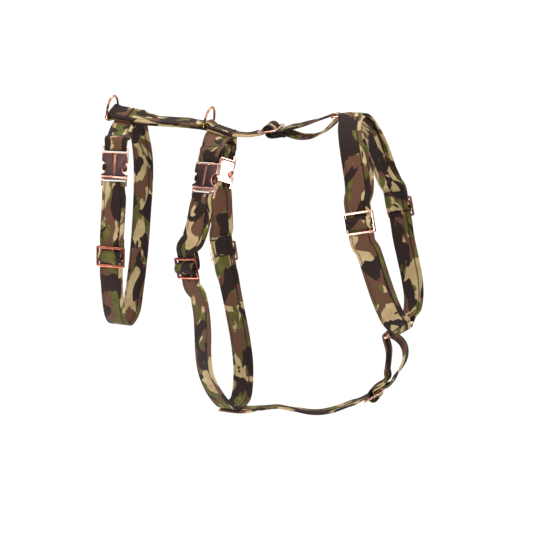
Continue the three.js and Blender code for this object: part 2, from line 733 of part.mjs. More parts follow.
// The belly strap, from the keel forwards to its slider, and its adjuster loop up to the chest ring.
const chest = place(203, 0, -205);
const chestAxis = across(0, CHEST_RING_TILT);
const bellyRoute = new Route(
  [
    via(keel.clone().add(new THREE.Vector3(-12, 0, -PITCH)), 90, 0),
    via(keel.clone().add(new THREE.Vector3(16, 0, -PITCH)), 90, 0),
    via(place(56, 0, -300), 98, -7),
    via(place(74, 0, -297), 104, -9),
    via(place(94, 0, -298), 104, -9),
    via(place(116, 0, -299), 101, -6),
    via(place(134, 0, -295), 96, -2),
    via(place(150, 0, -288), 92, 0),
    via(place(164, 0, -281), 90, 0),
    via(place(178, 0, -272.5), 90, 0),
    via(place(190, 0, -263.5), 90, 0),
    via(place(199, 0, -247), 90, 0),
    via(place(201, 0, -227), 90, 0),
    via(chest.clone().addScaledVector(chestAxis, -RING_REACH), 90, 0),
  ],
  -1,
);

// A point of a route beside a junction ring whose forward axis is given, on its near side (-1) or far side
// (1): a distance out from the wire, and lifted off the ring's plane.
function besideRing(centre, forward, side, out, lift) {
  const sideways = new THREE.Vector3(0, side, 0);
  const up = new THREE.Vector3().crossVectors(forward, new THREE.Vector3(0, 1, 0));
  const away = forward.clone().multiplyScalar(0.5).addScaledVector(sideways, Math.sqrt(0.75));
  const alongWire = forward.clone().multiplyScalar(Math.sqrt(0.75)).addScaledVector(sideways, -0.5);
  const point = centre.clone().addScaledVector(away, RING_REACH + out).addScaledVector(up, lift);
  return via(point, alongWire);
}

const FORWARD = new THREE.Vector3(1, 0, 0);
const neckNearRoute = new Route([
  besideRing(withers, FORWARD, -1, 0, 0),
  besideRing(withers, FORWARD, -1, 9, 1),
  via(place(159, -36, 3), 22, 0),
  via(place(164, -49, -11), 18, 0),
  via(place(170, -58, -29), 14, 0),
  via(place(175, -64, -47), 8, 2),
  via(place(177, -67, -67), 5, 4),
  via(place(179, -68, -86), 4, 8),
  via(place(184, -67, -102), 4, 10),
  via(place(190, -64, -121), 4, 12),
  via(place(195, -58, -141), 8, 12),
  via(place(200, -49, -162), 18, 10),
  via(place(205, -34, -183), 24, 16),
  besideRing(chest, chestAxis, -1, 9, 5),
  besideRing(chest, chestAxis, -1, 0, 0),
]);

const neckFarRoute = new Route(
  [
    besideRing(withers, FORWARD, 1, 0, 0),
    besideRing(withers, FORWARD, 1, 10, -1),
    via(place(166, 36, -5), -44, 6),
    via(place(172, 50, -25), -46, 14),
    via(place(176, 58, -44), -34, 17),
    via(place(182, 64, -63), -18, 16),
    via(place(187, 67, -82), -9, 14),
    via(place(190, 68, -100), -8, 9),
    via(place(194, 67, -120), -10, 8),
    via(place(200, 63, -141), -12, 9),
    via(place(206, 56, -161), -16, 9),
    via(place(210, 46, -178), -27, 9),
    via(place(211, 33, -190), -32, 14),
    besideRing(chest, chestAxis, 1, 9, 4),
    besideRing(chest, chestAxis, 1, 0, 0),
  ],
  -1,
);

// Where the hardware sits, as distances along its route.
const rearBuckleAt = 73.5;
const rearSliderAt = 170;
const frontBuckleAt = 70.5;
const frontNearSliderAt = 167;
const frontFarBuckleAt = 70.5;
const frontFarSliderAt = 169;
const neckSliderAt = 130;
const neckFarSliderAt = 128;
const bellySliderAt = 175;
const BUCKLE_ZONE = TOP_BAR + 7;
rearRoute.hold(rearBuckleAt, BUCKLE_ZONE, 10);
rearRoute.hold(rearSliderAt, SLIDER_HOLD);
frontNearRoute.hold(frontBuckleAt, BUCKLE_ZONE, 10);
frontNearRoute.hold(frontNearSliderAt, SLIDER_HOLD);
frontFarRoute.hold(frontFarBuckleAt, BUCKLE_ZONE, 10);
frontFarRoute.hold(frontFarSliderAt, SLIDER_HOLD);
neckNearRoute.hold(neckSliderAt, SLIDER_HOLD);
neckFarRoute.hold(neckFarSliderAt, SLIDER_HOLD);
bellyRoute.hold(bellySliderAt, SLIDER_HOLD);

// A tab, from under the back strap down to a buckle's bar, round it and a little way back up.
function tab(route, buckleAt) {
  const bar = buckleAt - TOP_BAR;
  return [
    ...run(route, 0, bar - EASE, OUTER),
    ...run(route, bar - EASE, bar, spread(OUTER, FOLD), 0, narrowing).slice(1, -1),
    ...foldRound(route, bar, FOLD, 1, 1, GATHERED_WIDTH),
    ...run(route, bar, bar - EASE, spread(-FOLD, INNER), 0, widening).slice(1),
    ...run(route, bar - EASE, bar - EASE - 8, INNER).slice(1),
  ];
}

// A girth strap: sewn to the slider's centre bar, up to the plug's bar, round it, down over the slider and on.
function girthStrap(route, buckleAt, sliderAt, end) {
  const bar = buckleAt - BOTTOM_BAR;
  return [
    ...sewnEnd(route, sliderAt).reverse(),
    ...run(route, sliderAt - SLIDER_ZONE, bar + EASE, INNER).slice(1),
    ...run(route, bar + EASE, bar, spread(INNER, -FOLD), 0, narrowing).slice(1, -1),
    ...foldRound(route, bar, FOLD, -1, -1, GATHERED_WIDTH),
    ...run(route, bar, bar + EASE, spread(FOLD, OUTER), 0, widening).slice(1, -1),
    ...run(route, bar + EASE, sliderAt - SLIDER_ZONE, OUTER).slice(0, -1),
    ...overSlider(route, sliderAt),
    ...run(route, sliderAt + SLIDER_ZONE, end, OUTER).slice(1),
  ];
}

// A neck strap: sewn to its slider, up to the withers ring, round it, down over the slider to the chest ring,
// round that and sewn to itself. shift moves the inner layer sideways.
function neckStrap(route, sliderAt, shift) {
  const upper = sliderAt - SLIDER_ZONE;
  const lower = sliderAt + SLIDER_ZONE;
  const toSide = (u) => shift * Math.sin(Math.PI * Math.min(1, 1.2 * u));
  const end = route.length;
  return [
    ...sewnEnd(route, sliderAt).reverse(),
    ...run(route, upper, 0, bowed(INNER, -RING_FOLD, -0.4), toSide, narrowing).slice(1, -1),
    ...foldRound(route, 0, RING_FOLD, -1, -1, GATHERED_WIDTH),
    ...run(route, 0, upper, bowed(RING_FOLD, OUTER, 0.4), 0, widening).slice(1, -1),
    ...overSlider(route, sliderAt),
    ...run(route, lower, end - EASE, OUTER).slice(1),
    ...run(route, end - EASE, end, spread(OUTER, RING_FOLD), 0, narrowing).slice(1, -1),
    ...foldRound(route, end, RING_FOLD, 1, 1, GATHERED_WIDTH),
    ...run(route, end, end - EASE, spread(-RING_FOLD, INNER), 0, widening).slice(1),
  ];
}

function bellyStrap() {
  const loopStart = bellySliderAt + SLIDER_ZONE;
  const end = bellyRoute.length;
  return [
    ...run(bellyRoute, 0, bellySliderAt - SLIDER_ZONE, OUTER).slice(0, -1),
    ...overSlider(bellyRoute, bellySliderAt),
    ...run(bellyRoute, loopStart, end, bowed(OUTER, RING_FOLD, 9, 1.6), 0, narrowing).slice(1, -1),
    ...foldRound(bellyRoute, end, RING_FOLD, 1, 1, GATHERED_WIDTH),
    ...run(bellyRoute, end, loopStart, bowed(-RING_FOLD, INNER, -4), 0, widening).slice(1, -1),
    ...sewnEnd(bellyRoute, bellySliderAt, -1),
  ];
}

add("back_strap", webbing(backStrap()), CLOTH);
add("rear_tab", webbing(tab(rearRoute, rearBuckleAt)), CLOTH);
add("rear_girth_strap", webbing(girthStrap(rearRoute, rearBuckleAt, rearSliderAt, rearRoute.length)), CLOTH);
add("front_tab_near", webbing(tab(frontNearRoute, frontBuckleAt)), CLOTH);
add("front_tab_far", webbing(tab(frontFarRoute, frontFarBuckleAt)), CLOTH);
add(
  "front_girth_near",
  webbing(girthStrap(frontNearRoute, frontBuckleAt, frontNearSliderAt, frontNearRoute.length)),
  CLOTH,
);
add(
  "front_girth_far",
  webbing(girthStrap(frontFarRoute, frontFarBuckleAt, frontFarSliderAt, frontFarRoute.length)),
  CLOTH,
);
add("belly_strap", webbing(bellyStrap()), CLOTH);
add("neck_strap_near", webbing(neckStrap(neckNearRoute, neckSliderAt, 5)), CLOTH);
add("neck_strap_far", webbing(neckStrap(neckFarRoute, neckFarSliderAt, 6)), CLOTH);

// ---------------------------------------------------------------- hardware on the straps

addBuckle("rear_buckle", rearRoute.matrix(rearBuckleAt));
addBuckle("front_buckle_near", frontNearRoute.matrix(frontBuckleAt));
addBuckle("front_buckle_far", frontFarRoute.matrix(frontFarBuckleAt));

add("back_slider", slider(), ROSE_GOLD, backRoute.matrix(backSliderAt, SLIDER_LIFT));
add("rear_slider", slider(), ROSE_GOLD, rearRoute.matrix(rearSliderAt, SLIDER_LIFT));
add("front_slider_near", slider(), ROSE_GOLD, frontNearRoute.matrix(frontNearSliderAt, SLIDER_LIFT));
add("front_slider_far", slider(), ROSE_GOLD, frontFarRoute.matrix(frontFarSliderAt, SLIDER_LIFT));
add("neck_slider_near", slider(), ROSE_GOLD, neckNearRoute.matrix(neckSliderAt, SLIDER_LIFT));
add("neck_slider_far", slider(), ROSE_GOLD, neckFarRoute.matrix(neckFarSliderAt, SLIDER_LIFT));
add("belly_slider", slider(), ROSE_GOLD, bellyRoute.matrix(bellySliderAt, SLIDER_LIFT));

// A D-ring stands outwards from its bar: its own y is turned to the route's outward direction, then leaned.
function addDRing(name, s, lift, lean) {
  const stand = new THREE.Matrix4().makeRotationX(Math.PI / 2 + lean * RAD);
  add(name, dRing(), ROSE_GOLD, backRoute.matrix(s, lift).multiply(stand));
}
addDRing("rear_d_ring", rearRingAt, 0, D_LEAN);
addDRing("front_d_ring", frontRingAt, FRONT_RING_LIFT, 0);

add("withers_ring", junctionRing(), ROSE_GOLD, new THREE.Matrix4().setPosition(withers));
const chestTurn = new THREE.Matrix4().makeRotationY(-CHEST_RING_TILT * RAD).setPosition(chest);
add("chest_ring", junctionRing(), ROSE_GOLD, chestTurn);

export default harness;
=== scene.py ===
"""A strap harness for a dog: camouflage cloth sewn over 25 mm webbing, with rose-gold buckles, sliders
and rings. +X points to the dog's head, +Y to its far side, +Z up. Shapes are worked out in millimetres
and turned to metres when a mesh is made."""

import math

import bmesh
import bpy
import numpy as np
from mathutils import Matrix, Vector


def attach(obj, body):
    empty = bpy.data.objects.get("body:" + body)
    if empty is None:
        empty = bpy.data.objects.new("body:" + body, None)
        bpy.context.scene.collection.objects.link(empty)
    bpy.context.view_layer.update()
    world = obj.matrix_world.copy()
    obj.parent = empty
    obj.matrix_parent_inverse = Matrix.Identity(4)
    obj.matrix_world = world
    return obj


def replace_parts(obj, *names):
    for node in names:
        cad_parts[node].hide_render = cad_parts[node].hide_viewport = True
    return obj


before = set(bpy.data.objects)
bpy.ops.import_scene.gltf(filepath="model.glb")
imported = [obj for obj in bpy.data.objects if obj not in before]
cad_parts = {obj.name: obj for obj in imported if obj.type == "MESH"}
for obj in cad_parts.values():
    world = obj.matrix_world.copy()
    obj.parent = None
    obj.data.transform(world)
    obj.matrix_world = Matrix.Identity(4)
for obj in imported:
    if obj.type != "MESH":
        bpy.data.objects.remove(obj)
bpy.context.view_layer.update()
ROOT = "harness"
MM = 0.001

# ---------------------------------------------------------------- camera

AZIMUTH = math.radians(18)
ELEVATION = math.radians(10)
LENS = 85
STAND = (0.4666, -1.2469, 0.0854)


def add_camera():
    camera = bpy.data.objects.new("camera", bpy.data.cameras.new("camera"))
    camera.data.lens = LENS
    camera.data.sensor_width = 36
    camera.data.clip_start = 0.01
    ahead = Vector((
        -math.sin(AZIMUTH) * math.cos(ELEVATION),
        math.cos(AZIMUTH) * math.cos(ELEVATION),
        -math.sin(ELEVATION),
    ))
    camera.location = STAND
    camera.rotation_euler = ahead.to_track_quat("-Z", "Y").to_euler()
    bpy.context.scene.collection.objects.link(camera)
    bpy.context.scene.camera = camera


add_camera()

# ---------------------------------------------------------------- sizes, in millimetres

WEB_WIDTH = 25.0
WEB_THICK = 2.0
GATHERED_WIDTH = 22.5
LAYER_GAP = 0.4
SEAT_GAP = 0.3
SIDE_PLAY = 0.5
D_WIRE = 2.4
D_HEIGHT = 19.0
D_CORNER = 1.8
D_LEAN = 4.0
RING_WIRE = 3.2
RING_SIDE = 37.0
RING_CORNER = 3.0
CHEST_RING_TILT = 30.0
SLIDER_BAR = 2.2
SLIDER_THICK = 2.0
SLIDER_LENGTH = 22.0
SLIDER_CLEAR = 0.6
BUCKLE_BAR = 2.4
BUCKLE_SIDE = 1.6
HOUSING_BODY = 25.4
SHOULDER = 2.8
BUCKLE_RUN = 0.5

PITCH = WEB_THICK + LAYER_GAP
OUTER = PITCH / 2
INNER = -PITCH / 2
SLOT = WEB_WIDTH + 2 * SIDE_PLAY
BUCKLE_SLOT = GATHERED_WIDTH + 2 * SIDE_PLAY
RING_REACH = RING_SIDE / (2 * math.sqrt(3))
SLIDER_LIFT = OUTER + WEB_THICK / 2 + SLIDER_CLEAR + SLIDER_THICK / 2
END_BAR = (SLIDER_LENGTH - SLIDER_BAR) / 2
WRAP = math.hypot(SLIDER_BAR, SLIDER_THICK) / 2 + SEAT_GAP + WEB_THICK / 2
DOME = WRAP + PITCH
SLIDER_ZONE = SLIDER_LENGTH / 2 + 3
SLIDER_HOLD = SLIDER_ZONE + 4
PRESS_EASE = 6
TAIL = 16.0
FOLD = BUCKLE_BAR * math.sqrt(2) / 2 + SEAT_GAP + WEB_THICK / 2
BAR_TO_BODY = FOLD + WEB_THICK / 2 + 1.4
TOP_BAR = HOUSING_BODY / 2 + BAR_TO_BODY
BOTTOM_BAR = -HOUSING_BODY / 2 - BUCKLE_RUN - SHOULDER - BAR_TO_BODY
BUCKLE_HALF = BUCKLE_SLOT / 2 + BUCKLE_SIDE
BUCKLE_ZONE = TOP_BAR + 7
D_FOLD = D_WIRE / 2 + LAYER_GAP + WEB_THICK / 2
FRONT_RING_LIFT = INNER + WEB_THICK / 2 + LAYER_GAP + D_WIRE / 2
HUMP = FRONT_RING_LIFT + D_FOLD
RING_FOLD = RING_WIRE / 2 + LAYER_GAP + WEB_THICK / 2

# Where the hardware sits, as distances along its route.
# Hardware by its distance along its own route, and on the back strap by its x.
REAR_RING_AT = 3.0
REAR_BUCKLE_AT = 73.5
REAR_SLIDER_AT = 170
FRONT_BUCKLES_AT = 70.5
NEAR_SLIDER_AT = 167
FAR_SLIDER_AT = 169
NECK_NEAR_SLIDER_AT = 130
NECK_FAR_SLIDER_AT = 128
BELLY_SLIDER_AT = 175
REAR_TAB_X = -94
FRONT_RING_X = -3
FRONT_TAB_X = 12.5
BACK_SLIDER_X = 67

# ---------------------------------------------------------------- routes


def unit(v):
    return v / np.linalg.norm(v, axis=-1, keepdims=True)


def dot(a, b):
    return np.sum(a * b, axis=-1, keepdims=True)


def smooth(x):
    u = np.clip(x, 0, 1)
    return u * u * (3 - 2 * u)


def across(yaw, tilt):
    """The unit vector across a strap: yaw turns it about +Z from +X, tilt lifts it. Degrees."""
    a, b = math.radians(yaw), math.radians(tilt)
    return np.array([math.cos(b) * math.cos(a), math.cos(b) * math.sin(a), math.sin(b)])


def via(x, y, z, yaw, tilt=0):
    return np.array([x, y, z], float), across(yaw, tilt)


def catmull(points, share):
    """Centripetal Catmull-Rom curve through points, at shares of its length in segments: on each segment
    a cubic whose end slopes come from the square roots of the distances to the neighbours."""
    padded = np.vstack([2 * points[0] - points[1], points, 2 * points[-1] - points[-2]])
    x = np.clip(share, 0, 1) * (len(points) - 1)
    i = np.minimum(x.astype(int), len(points) - 2)
    w = (x - i)[:, None]
    p0, p1, p2, p3 = (padded[i + k] for k in range(4))
    pairs = ((p0, p1), (p1, p2), (p2, p3))
    d0, d1, d2 = (np.sum((b - a) ** 2, axis=1, keepdims=True) ** 0.25 for a, b in pairs)
    d1 = np.where(d1 < 1e-4, 1.0, d1)
    d0 = np.where(d0 < 1e-4, d1, d0)
    d2 = np.where(d2 < 1e-4, d1, d2)
    m1 = ((p1 - p0) / d0 - (p2 - p0) / (d0 + d1) + (p2 - p1) / d1) * d1
    m2 = ((p2 - p1) / d1 - (p3 - p1) / (d1 + d2) + (p3 - p2) / d2) * d1
    return p1 + w * m1 + w**2 * (3 * (p2 - p1) - 2 * m1 - m2) + w**3 * (2 * (p1 - p2) + m1 + m2)


class Route:
    """A smooth line through points, with the direction across the webbing carried along it. It runs
    straight and flat where hardware sits."""

    def __init__(self, points, turn=1):
        self.line = np.array([p for p, _ in points])
        self.side = turn * np.array([w for _, w in points])
        self.share = np.linspace(0, 1, (len(points) - 1) * 30 + 1)
        steps = np.linalg.norm(np.diff(catmull(self.line, self.share), axis=0), axis=1)
        self.reach = np.concatenate([[0], np.cumsum(steps)])
        self.length = self.reach[-1]
        self.zones = []

    def bare(self, s):
        inside = np.clip(s, 0, self.length)
        u = np.interp(inside, self.reach, self.share)
        t = unit(catmull(self.line, np.minimum(u + 1e-4, 1)) - catmull(self.line, np.maximum(u - 1e-4, 0)))
        w = catmull(self.side, u)
        return catmull(self.line, u) + t * (s - inside)[:, None], t, unit(w - t * dot(w, t))

    def hold(self, s, half, ease=12):
        """Keeps the route straight and untwisted for half a length each way from s."""
        self.zones.append((s, half, ease, self.bare(np.array([s]))))

    def at(self, s):
        s = np.atleast_1d(np.asarray(s, float))
        p, t, w = self.bare(s)
        for middle, half, ease, (p0, t0, w0) in self.zones:
            k = 1 - smooth((np.abs(s - middle) - half) / ease)[:, None]
            p = p + k * (p0 + t0 * (s - middle)[:, None] - p)
            t = unit(t + k * (t0 - t))
            w = w + k * (w0 - w)
            w = unit(w - t * dot(w, t))
        return p, t, w, np.cross(t, w)

    def pressed(self, s):
        """1 where a slider presses the webbing flat, easing to 0 beyond it."""
        sliders = [middle for middle, half, _, _ in self.zones if half == SLIDER_HOLD]
        presses = [1 - smooth((np.abs(s - middle) - SLIDER_ZONE) / PRESS_EASE) for middle in sliders]
        return np.max([np.zeros_like(s), *presses], axis=0)

    def reach_of(self, x):
        """The distance along the route at which it passes a given x."""
        s = np.arange(0, self.length, 0.25)
        return s[np.argmax(self.bare(s)[0][:, 0] >= x)]

    def frame(self, s, lift=0):
        """Place and axes of a piece of hardware: x across the webbing, y back along it, z outwards."""
        p, t, w, n = (v[0] for v in self.at(s))
        return p + n * lift, np.array([w, -t, n])


WITHERS = np.array([146.5, 0, 13.0])
CHEST = np.array([203.0, 0, -205.0])
KEEL = np.array([23.0, 0, -301.0])
FORWARD = np.array([1.0, 0, 0])
CHEST_AXIS = across(0, CHEST_RING_TILT)


def make_routes():
    back = Route([
        via(-116, 0, 14, 96, 30), via(-91, 0, 10.5, 93, 26), via(-67, 0, 6, 92, 16), via(-33, 0, 4, 90, 10),
        via(-3, 0, 1, 90, 8), via(14, 0, -4, 90, 5), via(30, 0, -8, 90, 4), via(48, 0, -7.5, 92, 5),
        via(65, 0, -4.5, 94, 8), via(79, 0, -2.5, 94, 8), via(90, 0, -1.5, 93, 8), via(104, 0, 0.5, 92, 8),
        via(118, 0, 4.5, 90, 4), via(128, 0, 9, 90, 2), via(WITHERS[0] - RING_REACH, 0, WITHERS[2], 90, 0),
    ])
    rear_tab_at, front_tab_at = back.reach_of(REAR_TAB_X), back.reach_of(FRONT_TAB_X)
    back_slider_at = back.reach_of(BACK_SLIDER_X)
    back.hold(back_slider_at, SLIDER_HOLD)
    back.hold(back.reach_of(-45), 15, 12)
    back.hold(rear_tab_at, WEB_WIDTH / 2, 6)
    back.hold(front_tab_at, WEB_WIDTH / 2, 6)

    def under_back(s, sideways):
        p, t, w, n = (v[0] for v in back.at(s))
        return p + n * (INNER - PITCH - OUTER - SEAT_GAP) + w * sideways, t

    def beside_ring(centre, forward, side, out, lift):
        up = np.cross(forward, [0, 1, 0])
        away = forward * 0.5 + np.array([0, side, 0]) * math.sqrt(0.75)
        along = forward * math.sqrt(0.75) - np.array([0, side, 0]) * 0.5
        return centre + away * (RING_REACH + out) + up * lift, along

    edge = WEB_WIDTH / 2 - 1
    gap = SEAT_GAP / 2
    rear = Route([
        under_back(rear_tab_at, -gap), under_back(rear_tab_at, -edge / 2), under_back(rear_tab_at, -edge),
        via(-91, -32, -10, 4, -7), via(-88.5, -46, -23, 12, -7), via(-87.5, -53, -45, 18, -4),
        via(-88, -55, -75, 18), via(-90, -56, -105, 14), via(-92.5, -54, -135, 8), via(-94, -51, -160, 3),
        via(-96.5, -43, -185, 2), via(-101, -28, -205, -2), via(-105, -10, -215.5, -7),
        via(-106, 4, -217, -10),
        via(-106, 20, -209, -12), via(-108, 34, -192, -13, 3), via(-109, 45, -170, -12, 4),
        via(-108, 52, -140, -12, 5), via(-106, 56, -100, -12, 4), via(-103, 55, -65, -8, 4),
        via(-100, 48, -38, -9, 4), via(-97, 33, -12, -14),
        under_back(rear_tab_at, edge), under_back(rear_tab_at, edge / 2), under_back(rear_tab_at, gap),
    ])
    front_near = Route([
        under_back(front_tab_at, -gap), under_back(front_tab_at, -edge / 2), under_back(front_tab_at, -edge),
        via(15, -32, -17, -10, -7), via(15.5, -46, -31, -13, -8), via(14.5, -52, -46, -14, -11),
        via(13, -56, -62, -11, -12), via(11, -60, -78, -4, -10), via(8, -62, -96, -3, -7),
        via(2, -63, -115, -12, -4), via(-2, -63, -133, -21), via(1, -62, -150, -25, 6),
        via(8, -62, -166, -27, 10),
        via(12, -62, -186, -27, 6), via(13, -61, -206, -27, 4), via(12, -58, -228, -30, 4),
        via(12, -52, -250, -31, 4), via(14, -40, -270, -28, 8), via(18, -24, -289, -20, 6),
        via(22, -11, -300, -10), via(KEEL[0], -gap, KEEL[2], 0),
    ])
    front_far = Route([
        under_back(front_tab_at, gap), under_back(front_tab_at, edge / 2), under_back(front_tab_at, edge),
        via(4, 32, -22, -7, 4), via(-3, 46, -40, -6, 4), via(-9, 55, -62, -3, 4), via(-11, 60, -88, 1, 3),
        via(-11, 63, -118, 8, 2), via(-11, 64, -141, 10, 4), via(-7, 64, -161, 8, 5),
        via(-3, 63, -180, -4, 5),
        via(3, 61, -206, -8, 8), via(11, 57, -239, -7, 8), via(17, 50, -266, -7, 7), via(21, 38, -286, -9, 6),
        via(24, 22, -298, -12, 3), via(23.5, 11, -300.5, -8), via(KEEL[0], gap, KEEL[2], 0),
    ], -1)
    belly = Route([
        via(KEEL[0] - 12, 0, KEEL[2] - PITCH, 90), via(KEEL[0] + 16, 0, KEEL[2] - PITCH, 90),
        via(56, 0, -300, 98, -7), via(74, 0, -297, 104, -9), via(94, 0, -298, 104, -9),
        via(116, 0, -299, 101, -6), via(134, 0, -295, 96, -2), via(150, 0, -288, 92), via(164, 0, -281, 90),
        via(178, 0, -272.5, 90), via(190, 0, -263.5, 90), via(199, 0, -247, 90), via(201, 0, -227, 90),
        via(*(CHEST - CHEST_AXIS * RING_REACH), 90),
    ], -1)
    neck_near = Route([
        beside_ring(WITHERS, FORWARD, -1, 0, 0), beside_ring(WITHERS, FORWARD, -1, 9, 1),
        via(159, -36, 3, 22), via(164, -49, -11, 18), via(170, -58, -29, 14), via(175, -64, -47, 8, 2),
        via(177, -67, -67, 5, 4), via(179, -68, -86, 4, 8), via(184, -67, -102, 4, 10),
        via(190, -64, -121, 4, 12), via(195, -58, -141, 8, 12), via(200, -49, -162, 18, 10),
        via(205, -34, -183, 24, 16),
        beside_ring(CHEST, CHEST_AXIS, -1, 9, 5), beside_ring(CHEST, CHEST_AXIS, -1, 0, 0),
    ])
    neck_far = Route([
        beside_ring(WITHERS, FORWARD, 1, 0, 0), beside_ring(WITHERS, FORWARD, 1, 10, -1),
        via(166, 36, -5, -44, 6), via(172, 50, -25, -46, 14), via(176, 58, -44, -34, 17),
        via(182, 64, -63, -18, 16), via(187, 67, -82, -9, 14), via(190, 68, -100, -8, 9),
        via(194, 67, -120, -10, 8), via(200, 63, -141, -12, 9), via(206, 56, -161, -16, 9),
        via(210, 46, -178, -27, 9), via(211, 33, -190, -32, 14),
        beside_ring(CHEST, CHEST_AXIS, 1, 9, 4), beside_ring(CHEST, CHEST_AXIS, 1, 0, 0),
    ], -1)
    rear.hold(REAR_BUCKLE_AT, BUCKLE_ZONE, 10)
    rear.hold(REAR_SLIDER_AT, SLIDER_HOLD)
    front_near.hold(FRONT_BUCKLES_AT, BUCKLE_ZONE, 10)
    front_near.hold(NEAR_SLIDER_AT, SLIDER_HOLD)
    front_far.hold(FRONT_BUCKLES_AT, BUCKLE_ZONE, 10)
    front_far.hold(FAR_SLIDER_AT, SLIDER_HOLD)
    neck_near.hold(NECK_NEAR_SLIDER_AT, SLIDER_HOLD)
    neck_far.hold(NECK_FAR_SLIDER_AT, SLIDER_HOLD)
    belly.hold(BELLY_SLIDER_AT, SLIDER_HOLD)
    return back, rear, front_near, front_far, belly, neck_near, neck_far


back_route, rear_route, near_route, far_route, belly_route, neck_near_route, neck_far_route = make_routes()
FRONT_RING_AT = back_route.reach_of(FRONT_RING_X)
FRONT_TAB_AT = back_route.reach_of(FRONT_TAB_X)
BACK_SLIDER_AT = back_route.reach_of(BACK_SLIDER_X)

# ---------------------------------------------------------------- how each strap lies on its route

# A track is an array of rows [distance along the route, lift outwards, shift sideways, width].


def run(start, end, lift, shift=0, width=WEB_WIDTH):
    """A stretch of track. lift, shift and width are each a number, or a function of the share of the
    way."""
    u = np.linspace(0, 1, max(2, math.ceil(abs(end - start) / 3)) + 1)
    columns = [v(u) if callable(v) else np.full(len(u), float(v)) for v in (lift, shift, width)]
    return np.column_stack([start + (end - start) * u, *columns])


def bend(s, lift, radius, first, last, shift=0, width=WEB_WIDTH, count=12):
    """Track round an arc, in degrees from along the route towards outwards."""
    angle = np.radians(np.linspace(first, last, count + 1))
    ones = np.ones(count + 1)
    along, out = radius * np.cos(angle), radius * np.sin(angle)
    return np.column_stack([s + along, lift + out, shift * ones, width * ones])


def through(s, points, shift=0):
    return np.array([[s + along, lift, shift, WEB_WIDTH] for along, lift in points])


def over_slider(s):
    return np.vstack([
        through(s, [(-SLIDER_ZONE, OUTER), (-END_BAR, OUTER), (-(DOME + END_BAR) / 2, OUTER + 0.4)]),
        bend(s, SLIDER_LIFT, DOME, 200, -20),
        through(s, [((DOME + END_BAR) / 2, OUTER + 0.4), (END_BAR, OUTER), (SLIDER_ZONE, OUTER)]),
    ])


def sewn_end(s, way=1):
    """The inner layer folded round a slider's centre bar and sewn back on itself."""
    tail = INNER - PITCH - LAYER_GAP / 4
    turn = (200, -20) if way > 0 else (-20, 200)
    before = [(-SLIDER_ZONE, INNER), (-END_BAR, INNER), (-6, INNER - 0.2), (-3.4, INNER + PITCH / 3)]
    after = [(2.6, OUTER - 0.6), (1.6, INNER - 0.5), (-1, INNER - 1.9), (-5, tail), (-SLIDER_ZONE, tail)]
    after.append((-TAIL - 2, tail))
    return np.vstack([
        through(s, [(way * along, lift) for along, lift in before]),
        bend(s, SLIDER_LIFT, WRAP, *turn),
        through(s, [(way * along, lift) for along, lift in after]),
    ])


def fold_round(s, radius, way, start, width=WEB_WIDTH):
    first = 90 if start > 0 else -90
    return bend(s, 0, radius, first, first - start * way * 180, 0, width)


def spread(a, b):
    return lambda u: a + (b - a) * smooth(u)


def bowed(a, b, bow, skew=1):
    return lambda u: a + (b - a) * u + bow * np.sin(np.pi * u**skew)


def narrowing(u):
    return WEB_WIDTH + (GATHERED_WIDTH - WEB_WIDTH) * smooth(u)


def widening(u):
    return narrowing(1 - u)


EASE = 14.0
D_EASE = 6.0


def back_track():
    start, end = BACK_SLIDER_AT + SLIDER_ZONE, back_route.length
    return np.vstack([
        run(FRONT_TAB_AT + 15, REAR_RING_AT + D_EASE, INNER),
        run(REAR_RING_AT + D_EASE, REAR_RING_AT, spread(INNER, -D_FOLD))[1:-1],
        fold_round(REAR_RING_AT, D_FOLD, -1, -1),
        run(REAR_RING_AT, REAR_RING_AT + D_EASE, spread(D_FOLD, OUTER))[1:-1],
        run(REAR_RING_AT + D_EASE, FRONT_RING_AT - 7, OUTER),
        run(FRONT_RING_AT - 7, FRONT_RING_AT, spread(OUTER, HUMP))[1:-1],
        run(FRONT_RING_AT, FRONT_RING_AT + 7, spread(HUMP, OUTER))[:-1],
        run(FRONT_RING_AT + 7, BACK_SLIDER_AT - SLIDER_ZONE, OUTER)[:-1],
        over_slider(BACK_SLIDER_AT),
        run(start, end, bowed(OUTER, RING_FOLD, 3), 0, narrowing)[1:-1],
        fold_round(end, RING_FOLD, 1, 1, GATHERED_WIDTH),
        run(end, start, bowed(-RING_FOLD, INNER, -7), 0, widening)[1:-1],
        sewn_end(BACK_SLIDER_AT, -1),
    ])


def tab_track(buckle_at):
    bar = buckle_at - TOP_BAR
    return np.vstack([
        run(0, bar - EASE, OUTER),
        run(bar - EASE, bar, spread(OUTER, FOLD), 0, narrowing)[1:-1],
        fold_round(bar, FOLD, 1, 1, GATHERED_WIDTH),
        run(bar, bar - EASE, spread(-FOLD, INNER), 0, widening)[1:],
        run(bar - EASE, bar - EASE - 8, INNER)[1:],
    ])


def girth_track(buckle_at, slider_at, end):
    bar = buckle_at - BOTTOM_BAR
    return np.vstack([
        sewn_end(slider_at)[::-1],
        run(slider_at - SLIDER_ZONE, bar + EASE, INNER)[1:],
        run(bar + EASE, bar, spread(INNER, -FOLD), 0, narrowing)[1:-1],
        fold_round(bar, FOLD, -1, -1, GATHERED_WIDTH),
        run(bar, bar + EASE, spread(FOLD, OUTER), 0, widening)[1:-1],
        run(bar + EASE, slider_at - SLIDER_ZONE, OUTER)[:-1],
        over_slider(slider_at),
        run(slider_at + SLIDER_ZONE, end, OUTER)[1:],
    ])


